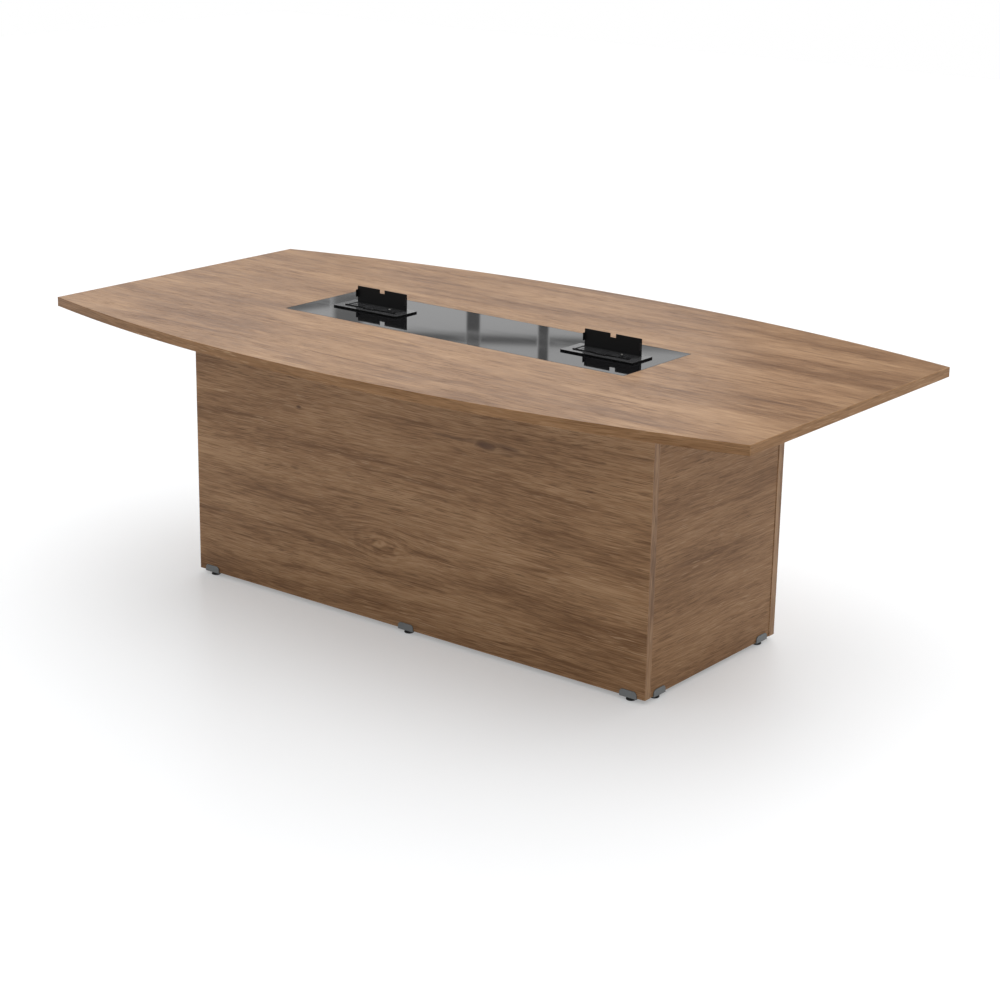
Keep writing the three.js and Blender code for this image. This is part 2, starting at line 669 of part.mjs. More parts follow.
// Foot bracket: a plate on the panel's outer face and a leg under its edge, with a hole for the stem.
// The face is at y = 0 with the panel behind it, and the panel's lower edge is at z = 0.
function bracketGeometry() {
  const half = BRACKET_WIDTH / 2;
  const low = -BRACKET_GAP - BRACKET_THICKNESS;
  const plateOutline = new THREE.Shape();
  plateOutline.moveTo(-half, low);
  plateOutline.lineTo(half, low);
  plateOutline.lineTo(half, BRACKET_RISE - BRACKET_CORNER);
  plateOutline.absarc(half - BRACKET_CORNER, BRACKET_RISE - BRACKET_CORNER, BRACKET_CORNER, 0, Math.PI / 2);
  plateOutline.lineTo(-half + BRACKET_CORNER, BRACKET_RISE);
  plateOutline.absarc(
    -half + BRACKET_CORNER, BRACKET_RISE - BRACKET_CORNER, BRACKET_CORNER, Math.PI / 2, Math.PI,
  );
  plateOutline.closePath();
  const plate = standUp(plateOutline, low, -BRACKET_GAP);
  const legOutline = new THREE.Shape();
  legOutline.moveTo(-half, low);
  legOutline.lineTo(half, low);
  legOutline.lineTo(half, PANEL_THICKNESS - BRACKET_LEG_CORNER);
  legOutline.absarc(
    half - BRACKET_LEG_CORNER, PANEL_THICKNESS - BRACKET_LEG_CORNER, BRACKET_LEG_CORNER, 0, Math.PI / 2,
  );
  legOutline.lineTo(-half + BRACKET_LEG_CORNER, PANEL_THICKNESS);
  legOutline.absarc(
    -half + BRACKET_LEG_CORNER,
    PANEL_THICKNESS - BRACKET_LEG_CORNER,
    BRACKET_LEG_CORNER,
    Math.PI / 2,
    Math.PI,
  );
  legOutline.closePath();
  const leg = raise(legOutline, low, -BRACKET_GAP);
  const hole = roundBarZ(
    STEM_RADIUS + STEM_CLEARANCE, low - CUT_MARGIN, CUT_MARGIN, 0, PANEL_THICKNESS / 2, STEM_SIDES,
  );
  return carve([plate, leg], [hole]);
}

// Glide: a pad, a neck that stops against the bracket's leg, and a stem, from the floor up
function glideGeometry() {
  const shoulder = PLINTH_FLOOR_GAP - 2 * BRACKET_GAP - BRACKET_THICKNESS;
  const profile = [
    [0, 0],
    [GLIDE_RADIUS - GLIDE_PAD_ROUND, 0],
    [GLIDE_RADIUS, GLIDE_PAD_ROUND],
    [GLIDE_RADIUS, GLIDE_PAD_HEIGHT - GLIDE_PAD_ROUND],
    [GLIDE_RADIUS - GLIDE_PAD_ROUND, GLIDE_PAD_HEIGHT],
    [GLIDE_NECK_RADIUS, GLIDE_PAD_HEIGHT],
    [GLIDE_NECK_RADIUS, shoulder],
    [STEM_RADIUS, shoulder],
    [STEM_RADIUS, shoulder + STEM_LENGTH],
    [0, shoulder + STEM_LENGTH],
  ].map(([radius, height]) => new THREE.Vector2(radius, height));
  return new THREE.LatheGeometry(profile, STEM_SIDES).rotateX(Math.PI / 2);
}

// Feet of a panel: the panel's outer face, the way that it faces as a turn, and the places along it
function buildFeet(name, position, turn, places) {
  const group = new THREE.Group();
  group.position.set(...position, 0);
  group.rotation.z = turn;
  for (const [place, x] of Object.entries(places)) {
    const bracket = addMesh(group, `foot_${name}_${place}_bracket`, bracketGeometry(), greyPaint);
    bracket.position.set(x, 0, PLINTH_FLOOR_GAP);
    const glide = addMesh(group, `foot_${name}_${place}_glide`, glideGeometry(), rubber);
    glide.position.set(x, PANEL_THICKNESS / 2, 0);
  }
  return group;
}

// The board with its bands and the glass
function buildTop() {
  const group = new THREE.Group();
  addMesh(group, 'table_top', boardGeometry(), oakDecor);
  addMesh(group, 'edge_band_front', bowedBand(-1), oakDecor);
  addMesh(group, 'edge_band_rear', bowedBand(1), oakDecor);
  addMesh(group, 'edge_band_left', endBand(-1), oakDecor);
  addMesh(group, 'edge_band_right', endBand(1), oakDecor);
  addMesh(group, 'glass_insert', glassGeometry(), blackGlass);
  return group;
}

// The plinth's boards and angles, and the feet under them
function buildPlinth() {
  const group = new THREE.Group();
  const longFoot = PLINTH_LENGTH / 2 - LONG_FOOT_INSET;
  const endFoot = innerDepth / 2 - END_FOOT_INSET;
  const longPlace = (PLINTH_DEPTH - PANEL_THICKNESS) / 2;
  const endPlace = endPanelOuter - PANEL_THICKNESS / 2;
  for (const [name, side] of [['front', -1], ['rear', 1]]) {
    const panel = panelGeometry(PLINTH_LENGTH, [-longFoot, 0, longFoot]);
    const mesh = addMesh(group, `plinth_panel_${name}`, panel, oakDecor);
    mesh.position.set(0, side * longPlace, PLINTH_FLOOR_GAP);
    group.add(buildFeet(name, [0, (side * PLINTH_DEPTH) / 2], side < 0 ? 0 : Math.PI, {
      left: side * longFoot,
      middle: 0,
      right: -side * longFoot,
    }));
  }
  for (const [name, side] of [['left', -1], ['right', 1]]) {
    const panel = panelGeometry(innerDepth - 2 * PANEL_JOINT, [-endFoot, endFoot]).rotateZ(Math.PI / 2);
    const mesh = addMesh(group, `plinth_panel_${name}`, panel, oakDecor);
    mesh.position.set(side * endPlace, 0, PLINTH_FLOOR_GAP);
    group.add(buildFeet(name, [side * endPanelOuter, 0], (side * Math.PI) / 2, {
      front: -side * endFoot,
      rear: side * endFoot,
    }));
    addMesh(group, `cross_rail_${name}`, railGeometry(side), oakDecor);
    addMesh(group, `corner_angle_front_${name}`, cornerAngleGeometry(side, -1), steel);
    addMesh(group, `corner_angle_rear_${name}`, cornerAngleGeometry(side, 1), steel);
  }
  addMesh(group, 'plinth_divider', dividerGeometry(), oakDecor);
  return group;
}

const table = new THREE.Group();
table.add(buildTop(), ...modules.map(buildModule), buildPlinth());

export default table;
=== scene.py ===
"""Conference table: finishes, hardware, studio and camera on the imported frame."""

from __future__ import annotations

import json
import logging
import math
from abc import ABC, abstractmethod
from collections.abc import Callable, Iterator, Mapping, Sequence
from contextlib import contextmanager
from dataclasses import dataclass, field
from enum import Enum
from typing import Union

import bmesh
import bpy
from mathutils import Matrix, Vector

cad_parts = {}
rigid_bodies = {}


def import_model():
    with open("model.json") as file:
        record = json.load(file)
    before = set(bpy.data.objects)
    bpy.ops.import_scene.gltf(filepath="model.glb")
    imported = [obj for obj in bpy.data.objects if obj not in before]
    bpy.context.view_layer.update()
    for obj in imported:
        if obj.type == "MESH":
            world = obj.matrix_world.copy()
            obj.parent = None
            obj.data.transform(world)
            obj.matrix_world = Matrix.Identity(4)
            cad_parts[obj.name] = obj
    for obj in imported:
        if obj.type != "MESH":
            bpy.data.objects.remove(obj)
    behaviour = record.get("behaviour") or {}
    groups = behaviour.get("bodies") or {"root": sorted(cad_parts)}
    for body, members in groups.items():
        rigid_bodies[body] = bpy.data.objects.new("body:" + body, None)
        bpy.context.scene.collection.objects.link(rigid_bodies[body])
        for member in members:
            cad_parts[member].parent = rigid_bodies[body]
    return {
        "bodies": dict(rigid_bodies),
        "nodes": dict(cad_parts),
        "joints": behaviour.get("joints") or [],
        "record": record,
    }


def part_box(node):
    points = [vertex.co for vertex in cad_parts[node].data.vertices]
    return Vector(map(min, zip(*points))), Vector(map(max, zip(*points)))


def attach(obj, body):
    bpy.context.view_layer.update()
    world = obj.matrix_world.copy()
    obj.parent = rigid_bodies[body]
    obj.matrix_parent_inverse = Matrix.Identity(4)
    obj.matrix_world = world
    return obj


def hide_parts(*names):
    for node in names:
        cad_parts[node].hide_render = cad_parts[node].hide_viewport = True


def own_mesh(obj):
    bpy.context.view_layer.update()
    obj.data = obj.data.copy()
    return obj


LOG = logging.getLogger("conference_table")
MM = 0.001
TOUCH = 1e-6
IMAGE_WIDTH = 1000.0
SENSOR_WIDTH = 36.0
PHOTO_YAW = 37.62
NOISE_MEAN = 0.5

Colour = tuple[float, float, float]
Feed = Union[bpy.types.NodeSocket, float, Sequence[float]]
Made = dict[str, bpy.types.NodeSocket]


class Grain(Enum):
    """The order in which x, y and z become along, across and through the grain."""

    ALONG_LENGTH = (0, 2, 1)
    FLAT_ALONG_LENGTH = (0, 1, 2)
    ALONG_DEPTH = (1, 2, 0)
    ALONG_HEIGHT = (2, 1, 0)


class Kind(Enum):
    """The kind of a node group's socket."""

    VALUE = "NodeSocketFloat"
    VECTOR = "NodeSocketVector"


class Mixed(Enum):
    """What a mix node mixes, with the ending of its sockets' names."""

    RGBA = "Color"
    VECTOR = "Vector"


class Slot(Enum):
    """The record's material slots, passed along with the new pieces."""

    SATIN_BLACK = "satin_black"
    ZINC_STEEL = "zinc_steel"
    BRACKET_GREY = "bracket_grey"
    SEAL_BLACK = "glide_black"
    BLACK_PLASTIC = "black_plastic"


class Side(Enum):
    """Which of the two modules along the glass."""

    LEFT = "left"
    RIGHT = "right"


def rgba(colour: Colour) -> tuple[float, float, float, float]:
    """The colour with a full fourth channel."""
    return (*colour, 1.0)


@dataclass(frozen=True)
class Cells:
    """How fine a noise is: cells per metre along and across, its finer layers and their weight."""

    along: float
    across: float
    detail: float = 2.0
    lift: float = 0.5

    def stretch(self) -> tuple[float, float, float]:
        """The cells per metre along, across and through."""
        return (self.along, self.across, self.across)


class NodeSheet:
    """A shader node tree that is filled from left to right."""

    STEP = 190.0

    def __init__(self, tree: bpy.types.NodeTree) -> None:
        """Starts at the left of an empty tree.

        Args:
            tree: The tree that takes the nodes.
        """
        self.tree = tree
        self.reach = 0.0

    @classmethod
    def for_material(cls, name: str) -> tuple[bpy.types.Material, NodeSheet]:
        """Makes a material with nothing in it.

        Args:
            name: The material's name.

        Returns:
            The material and its empty sheet.
        """
        made = bpy.data.materials.new(name)
        made.use_nodes = True
        made.node_tree.nodes.clear()
        return made, cls(made.node_tree)

    def show(self, shader: bpy.types.Node) -> None:
        """Ends a material's sheet with a shader as its surface."""
        output = self.add("ShaderNodeOutputMaterial")
        self.feed(output.inputs["Surface"], shader.outputs[0])

    def here(self) -> bpy.types.NodeSocket:
        """The coordinates on the piece, in metres."""
        return self.add("ShaderNodeTexCoord").outputs["Object"]

    def add(self, kind: str, **settings: object) -> bpy.types.Node:
        """Adds a node to the right of the last one.

        Args:
            kind: Blender's name of the node type.
            settings: Properties of the node, by name.

        Returns:
            The new node.
        """
        node = self.tree.nodes.new(kind)
        node.location = (self.reach, 0.0)
        self.reach += self.STEP
        for name, value in settings.items():
            setattr(node, name, value)
        return node

    def feed(self, socket: bpy.types.NodeSocket, value: Feed) -> None:
        """Links a socket to another, or sets its own value.

        Args:
            socket: The input that is fed.
            value: An output socket, a number or a list of numbers.
        """
        if isinstance(value, bpy.types.NodeSocket):
            self.tree.links.new(value, socket)
        else:
            socket.default_value = value

    def math(self, operation: str, *values: Feed) -> bpy.types.NodeSocket:
        """Adds one step of arithmetic.

        Args:
            operation: Blender's name of the operation.
            values: Its one to three inputs.

        Returns:
            The result's socket.
        """
        node = self.add("ShaderNodeMath", operation=operation)
        for socket, value in zip(node.inputs, values):
            self.feed(socket, value)
        return node.outputs[0]

    def vector(self, operation: str, *values: Feed) -> bpy.types.NodeSocket:
        """Adds one step of vector arithmetic.

        Args:
            operation: Blender's name of the operation.
            values: Its vectors.

        Returns:
            The result's vector socket.
        """
        node = self.add("ShaderNodeVectorMath", operation=operation)
        for socket, value in zip(node.inputs, values):
            self.feed(socket, value)
        return node.outputs[0]

    def split(self, vector: Feed) -> list[bpy.types.NodeSocket]:
        """Takes a vector apart.

        Args:
            vector: The vector.

        Returns:
            Its x, y and z sockets.
        """
        node = self.add("ShaderNodeSeparateXYZ")
        self.feed(node.inputs[0], vector)
        return list(node.outputs)

    def join(self, *values: Feed) -> bpy.types.NodeSocket:
        """Puts a vector together.

        Args:
            values: Its x, y and z.

        Returns:
            The vector's socket.
        """
        node = self.add("ShaderNodeCombineXYZ")
        for socket, value in zip(node.inputs, values):
            self.feed(socket, value)
        return node.outputs[0]

    def noise(self, vector: Feed, cells: Cells) -> bpy.types.NodeSocket:
        """Adds a noise whose cells have a size of their own along and across.

        Args:
            vector: The coordinates, in metres.
            cells: How fine the noise is.

        Returns:
            The noise's value socket, about NOISE_MEAN on average.
        """
        node = self.add("ShaderNodeTexNoise", noise_dimensions="3D")
        self.feed(node.inputs["Vector"], self.vector("MULTIPLY", vector, cells.stretch()))
        node.inputs["Scale"].default_value = 1.0
        node.inputs["Detail"].default_value = cells.detail
        node.inputs["Roughness"].default_value = cells.lift
        return node.outputs[0]

    def centred(self, value: Feed) -> bpy.types.NodeSocket:
        """A noise's value less its average."""
        return self.math("SUBTRACT", value, NOISE_MEAN)

    def ease(
        self,
        value: Feed,
        low: Feed,
        high: Feed,
        start: Feed = 0.0,
        end: Feed = 1.0,
    ) -> bpy.types.NodeSocket:
        """Maps a value smoothly from one range to another and holds it at the ends.

        Args:
            value: What is mapped.
            low: The value that gives start.
            high: The value that gives end.
            start: The result at low.
            end: The result at high.

        Returns:
            The mapped value's socket.
        """
        node = self.add("ShaderNodeMapRange", interpolation_type="SMOOTHSTEP")
        for socket, number in zip(node.inputs, (value, low, high, start, end)):
            self.feed(socket, number)
        return node.outputs[0]

    def mix(self, kind: Mixed, factor: Feed, first: Feed, second: Feed) -> bpy.types.NodeSocket:
        """Adds a mix of two colours or vectors.

        Args:
            kind: What is mixed.
            factor: Nought for the first of the two, one for the second.
            first: The first.
            second: The second.

        Returns:
            The result's socket.
        """
        node = self.add("ShaderNodeMix", data_type=kind.name)
        ending = kind.value
        wanted = {"Factor_Float": factor, f"A_{ending}": first, f"B_{ending}": second}
        for socket in node.inputs:
            if socket.identifier in wanted:
                self.feed(socket, wanted[socket.identifier])
        return next(socket for socket in node.outputs if socket.identifier == f"Result_{ending}")

    def blend(self, factor: Feed, first: Feed, second: Feed) -> bpy.types.NodeSocket:
        """A colour between two, by a factor."""
        return self.mix(Mixed.RGBA, factor, first, second)

    def choose(self, factor: Feed, first: Feed, second: Feed) -> bpy.types.NodeSocket:
        """A vector between two, by a factor."""
        return self.mix(Mixed.VECTOR, factor, first, second)

    def tint(
        self,
        colour: Feed,
        mask: Feed,
        weight: float,
        towards: Colour,
    ) -> bpy.types.NodeSocket:
        """A colour that goes part of the way to another under a mask."""
        return self.blend(self.math("MULTIPLY", mask, weight), colour, rgba(towards))

    def ramp(self, value: Feed, stops: Sequence[tuple[float, Colour]]) -> bpy.types.NodeSocket:
        """A colour from a ramp.

        Args:
            value: The place on the ramp.
            stops: Places and colours, in rising order.

        Returns:
            The colour's socket.
        """
        node = self.add("ShaderNodeValToRGB")
        elements = node.color_ramp.elements
        while len(elements) < len(stops):
            elements.new(1.0)
        for element, (place, colour) in zip(elements, stops):
            element.position = place
            element.color = rgba(colour)
        self.feed(node.inputs[0], value)
        return node.outputs[0]

    def bump(self, height: Feed, distance: float, strength: float) -> bpy.types.NodeSocket:
        """Bends the surface's normal by a height.

        Args:
            height: The height, from nought to one.
            distance: How far a height of one stands up, in metres.
            strength: How much of the bend is used.

        Returns:
            The normal's socket.
        """
        node = self.add("ShaderNodeBump")
        node.inputs["Strength"].default_value = strength
        node.inputs["Distance"].default_value = distance
        self.feed(node.inputs["Height"], height)
        return node.outputs[0]

    def place(self, effect: SharedEffect, feeds: Mapping[str, Feed]) -> Made:
        """Places a shared effect with its own values.

        Args:
            effect: The effect.
            feeds: What goes into its inputs, by name.

        Returns:
            Its output sockets, by name.
        """
        node = self.add("ShaderNodeGroup", node_tree=effect.tree())
        for name, value in feeds.items():
            self.feed(node.inputs[name], value)
        return {socket.name: socket for socket in node.outputs}


class SharedEffect(ABC):
    """A shader node group that is built once and placed in many materials."""

    name: str
    inputs: dict[str, Kind]
    outputs: dict[str, Kind]

    def tree(self) -> bpy.types.NodeTree:
        """The group's tree, which is built at its first use.

        Returns:
            The node group.
        """
        found = bpy.data.node_groups.get(self.name)
        if found is not None:
            return found
        tree = bpy.data.node_groups.new(self.name, "ShaderNodeTree")
        for name, kind in self.inputs.items():
            tree.interface.new_socket(name, in_out="INPUT", socket_type=kind.value)
        for name, kind in self.outputs.items():
            tree.interface.new_socket(name, in_out="OUTPUT", socket_type=kind.value)
        sheet = NodeSheet(tree)
        given = {socket.name: socket for socket in sheet.add("NodeGroupInput").outputs}
        made = self.draw(sheet, given)
        end = sheet.add("NodeGroupOutput")
        for name, socket in made.items():
            sheet.feed(end.inputs[name], socket)
        return tree

    @abstractmethod
    def draw(self, sheet: NodeSheet, given: Made) -> Made:
        """Fills the group.

        Args:
            sheet: The group's sheet.
            given: The group's input sockets, by name.

        Returns:
            The sockets that feed the group's outputs, by name.
        """


class OakFigure(SharedEffect):
    """Brown oak: broad bands, streaks, fibres, dark pores and pale flecks along the first axis."""

    name = "oak_figure"
    inputs = {
        "Vector": Kind.VECTOR,
        "Seed": Kind.VALUE,
        "Waviness": Kind.VALUE,
        "Banding": Kind.VALUE,
    }
    outputs = {
        "Tone": Kind.VALUE,
        "Pores": Kind.VALUE,
        "Flecks": Kind.VALUE,
        "Height": Kind.VALUE,
    }
    seed_shift = (7.31, 3.17, 5.83)
    vein_shift = (1.7, 4.1, 0.6)
    fleck_shift = (3.3, 1.9, 2.7)
    drift_cells = Cells(1.1, 3.4, 1.5)
    band_cells = Cells(1.6, 9.0, 2.5)
    streak_cells = Cells(5.0, 42.0, 3.0, 0.6)
    dash_cells = Cells(8.0, 165.0)
    fibre_cells = Cells(15.0, 420.0)
    vein_cells = Cells(2.4, 55.0)
    patch_cells = Cells(2.6, 24.0, 1.0)
    pore_cells = Cells(20.0, 560.0, 1.0)
    fleck_cells = Cells(17.0, 430.0, 1.0)
    streak_weight = 0.56
    dash_weight = 0.56
    fibre_weight = 1.25
    vein_weight = -0.30
    vein_range = (0.57, 0.74)
    patch_range = (0.34, 0.60)
    pore_range = (0.55, 0.68)
    fleck_range = (0.58, 0.71)
    fibre_height = 0.5

    def draw(self, sheet: NodeSheet, given: Made) -> Made:
        """Layers bands, streaks, dashes, fibres and veins, with pores and flecks in patches.

        Args:
            sheet: The group's sheet.
            given: The group's input sockets, by name.

        Returns:
            The sockets that feed the group's outputs, by name.
        """
        shift = sheet.vector("MULTIPLY", self.seed_shift, sheet.join(*[given["Seed"]] * 3))
        start = sheet.vector("ADD", given["Vector"], shift)
        drift = sheet.centred(sheet.noise(start, self.drift_cells))
        drift = sheet.math("MULTIPLY", drift, given["Waviness"])
        grain = sheet.vector("ADD", start, sheet.join(0.0, drift, drift))
        bands = sheet.centred(sheet.noise(grain, self.band_cells))
        tone = sheet.math("MULTIPLY_ADD", bands, given["Banding"], NOISE_MEAN)
        fibres = sheet.noise(grain, self.fibre_cells)
        for layer, weight in (
            (sheet.noise(grain, self.streak_cells), self.streak_weight),
            (sheet.noise(grain, self.dash_cells), self.dash_weight),
            (fibres, self.fibre_weight),
        ):
            tone = sheet.math("MULTIPLY_ADD", sheet.centred(layer), weight, tone)
        veins = sheet.noise(sheet.vector("ADD", grain, self.vein_shift), self.vein_cells)
        veins = sheet.ease(veins, *self.vein_range)
        tone = sheet.math("MULTIPLY_ADD", veins, self.vein_weight, tone)
        patches = sheet.ease(sheet.noise(grain, self.patch_cells), *self.patch_range)
        pores = sheet.ease(sheet.noise(grain, self.pore_cells), *self.pore_range)
        pores = sheet.math("MULTIPLY", pores, patches)
        flecks = sheet.noise(sheet.vector("ADD", grain, self.fleck_shift), self.fleck_cells)
        flecks = sheet.ease(flecks, *self.fleck_range)
        flecks = sheet.math("MULTIPLY", flecks, sheet.math("SUBTRACT", 1.0, patches))
        height = sheet.math("SUBTRACT", sheet.math("MULTIPLY", fibres, self.fibre_height), pores)
        return {"Tone": tone, "Pores": pores, "Flecks": flecks, "Height": height}


class KnotSwirl(SharedEffect):
    """A knot that pushes the grain aside, with rings and a dark heart."""

    name = "knot_swirl"
    inputs = {
        "Vector": Kind.VECTOR,
        "Centre": Kind.VECTOR,
        "Length": Kind.VALUE,
        "Width": Kind.VALUE,
        "Pull": Kind.VALUE,
    }
    outputs = {"Vector": Kind.VECTOR, "Heart": Kind.VALUE, "Rings": Kind.VALUE}
    ragged_cells = Cells(30.0, 70.0)
    heart_ragged = 0.5
    heart_range = (0.15, 0.75)
    ring_ragged = 1.1
    ring_pitch = 11.0

    def draw(self, sheet: NodeSheet, given: Made) -> Made:
        """Squeezes the grain together round the knot, and draws its heart and rings.

        Args:
            sheet: The group's sheet.
            given: The group's input sockets, by name.

        Returns:
            The sockets that feed the group's outputs, by name.
        """
        along, across, through = sheet.split(given["Vector"])
        _, middle, _ = sheet.split(given["Centre"])
        offset = sheet.vector("SUBTRACT", given["Vector"], given["Centre"])
        off_along, off_across, _ = sheet.split(offset)
        ragged = sheet.noise(given["Vector"], self.ragged_cells)
        first = sheet.math("DIVIDE", off_along, given["Length"])
        second = sheet.math("DIVIDE", off_across, given["Width"])
        square = sheet.math("MULTIPLY_ADD", first, first, sheet.math("MULTIPLY", second, second))
        fade = sheet.math("EXPONENT", sheet.math("MULTIPLY", square, -1.0))
        squeeze = sheet.math("SUBTRACT", 1.0, sheet.math("MULTIPLY", fade, given["Pull"]))
        turned = sheet.math("MULTIPLY_ADD", off_across, squeeze, middle)
        root = sheet.math("SQRT", square)
        heart_edge, ring_edge = [
            sheet.math("ADD", root, sheet.math("MULTIPLY_ADD", ragged, amount, -amount / 2))
            for amount in (self.heart_ragged, self.ring_ragged)
        ]
        heart = sheet.ease(heart_edge, *self.heart_range, 1.0, 0.0)
        wave = sheet.math("SINE", sheet.math("MULTIPLY", ring_edge, self.ring_pitch))
        rings = sheet.math("MULTIPLY", wave, fade)
        return {"Vector": sheet.join(along, turned, through), "Heart": heart, "Rings": rings}


class EdgeMask(SharedEffect):
    """A broken line along the edges of a piece's box: wear on most finishes, wear with a painted
    highlight on satin black, and painted shade on bracket grey.
    """

    name = "edge_mask"
    inputs = {"Vector": Kind.VECTOR, "Low": Kind.VECTOR, "High": Kind.VECTOR, "Width": Kind.VALUE}
    outputs = {"Mask": Kind.VALUE}
    wobble_cells = Cells(55.0, 55.0, 3.0)

    def draw(self, sheet: NodeSheet, given: Made) -> Made:
        """Marks where two faces of the box meet, which is where the second distance is small.

        Args:
            sheet: The group's sheet.
            given: The group's input sockets, by name.

        Returns:
            The sockets that feed the group's outputs, by name.
        """
        below = sheet.vector("SUBTRACT", given["Vector"], given["Low"])
        above = sheet.vector("SUBTRACT", given["High"], given["Vector"])
        x, y, z = sheet.split(sheet.vector("MINIMUM", below, above))
        least = sheet.math("MINIMUM", sheet.math("MINIMUM", x, y), z)
        most = sheet.math("MAXIMUM", sheet.math("MAXIMUM", x, y), z)
        total = sheet.math("ADD", sheet.math("ADD", x, y), z)
        middle = sheet.math("SUBTRACT", sheet.math("SUBTRACT", total, least), most)
        wobble = sheet.centred(sheet.noise(given["Vector"], self.wobble_cells))
        distance = sheet.math("MULTIPLY_ADD", wobble, given["Width"], middle)
        return {"Mask": sheet.ease(distance, 0.0, given["Width"], 1.0, 0.0)}


class FineMottle(SharedEffect):
    """The close speckle of a powder coat or a moulded skin, over slow patches."""

    name = "fine_mottle"
    inputs = {"Vector": Kind.VECTOR, "Cells": Kind.VALUE}
    outputs = {"Speckle": Kind.VALUE, "Patches": Kind.VALUE}
    speckle_cells = Cells(1.0, 1.0, 2.0, 0.6)
    patch_cells = Cells(38.0, 38.0, 3.0)

    def draw(self, sheet: NodeSheet, given: Made) -> Made:
        """Lays a fine speckle over slow patches.

        Args:
            sheet: The group's sheet.
            given: The group's input sockets, by name.

        Returns:
            The sockets that feed the group's outputs, by name.
        """
        fine = sheet.vector("MULTIPLY", given["Vector"], sheet.join(*[given["Cells"]] * 3))
        speckle = sheet.noise(fine, self.speckle_cells)
        patches = sheet.noise(given["Vector"], self.patch_cells)
        return {"Speckle": speckle, "Patches": patches}


class BrushLines(SharedEffect):
    """Fine drawn lines along the first axis, as on plated steel."""

    name = "brush_lines"
    inputs = {"Vector": Kind.VECTOR}
    outputs = {"Lines": Kind.VALUE, "Spangle": Kind.VALUE}
    line_cells = Cells(60.0, 2400.0)
    spangle_cells = Cells(240.0, 240.0)

    def draw(self, sheet: NodeSheet, given: Made) -> Made:
        """Draws the lines and a slow spangle.

        Args:
            sheet: The group's sheet.
            given: The group's input sockets, by name.

        Returns:
            The sockets that feed the group's outputs, by name.
        """
        lines = sheet.noise(given["Vector"], self.line_cells)
        spangle = sheet.noise(given["Vector"], self.spangle_cells)
        return {"Lines": lines, "Spangle": spangle}


class Smudge(SharedEffect):
    """Wiped marks and a little dust on a gloss surface."""

    name = "smudge"
    inputs = {"Vector": Kind.VECTOR}
    outputs = {"Wipes": Kind.VALUE, "Dust": Kind.VALUE}
    wipe_cells = Cells(5.0, 14.0, 4.0, 0.6)
    wipe_range = (0.42, 0.72)
    dust_cells = Cells(900.0, 900.0, 1.0)
    dust_range = (0.70, 0.80)

    def draw(self, sheet: NodeSheet, given: Made) -> Made:
        """Spreads the wiped marks and the dust.

        Args:
            sheet: The group's sheet.
            given: The group's input sockets, by name.

        Returns:
            The sockets that feed the group's outputs, by name.
        """
        wipes = sheet.ease(sheet.noise(given["Vector"], self.wipe_cells), *self.wipe_range)
        dust = sheet.ease(sheet.noise(given["Vector"], self.dust_cells), *self.dust_range)
        return {"Wipes": wipes, "Dust": dust}


@dataclass(frozen=True)
class Surface:
    """One piece's material while it is made, with the lowest and highest corner of the piece."""

    sheet: NodeSheet
    shader: bpy.types.Node
    place: bpy.types.NodeSocket
    low: Vector
    high: Vector

    def feed(self, name: str, value: Feed) -> None:
        """Links or sets one of the shader's inputs."""
        self.sheet.feed(self.shader.inputs[name], value)

    def edge_marks(self, width: float) -> bpy.types.NodeSocket:
        """The mask of the piece's edges, for wear and, on some coated metals, painted highlight and
        painted shade.

        Args:
            width: How far the edge mask reaches from an edge.

        Returns:
            The mask's socket.
        """
        feeds = {"Vector": self.place, "Low": self.low, "High": self.high, "Width": width}
        return self.sheet.place(EdgeMask(), feeds)["Mask"]


class Finish(ABC):
    """What a surface is made of."""

    def material(self, name: str, low: Vector, high: Vector) -> bpy.types.Material:
        """Makes the finish's material for one piece.

        Args:
            name: The piece's name.
            low: The lowest corner of the piece, in metres.
            high: The highest corner of the piece, in metres.

        Returns:
            The material.
        """
        made, sheet = NodeSheet.for_material(f"{name}_finish")
        place = sheet.here()
        shader = sheet.add("ShaderNodeBsdfPrincipled")
        self.dress(Surface(sheet, shader, place, low, high))
        sheet.show(shader)
        return made

    @abstractmethod
    def dress(self, on: Surface) -> None:
        """Feeds the shader.

        Args:
            on: The surface that takes the finish.
        """


@dataclass(frozen=True)
class Knot:
    """One knot in a board, placed along and across the grain, in metres."""

    along: float
    across: float
    length: float
    width: float
    pull: float = 0.85
    heart: float = 0.0
    rings: float = 0.0


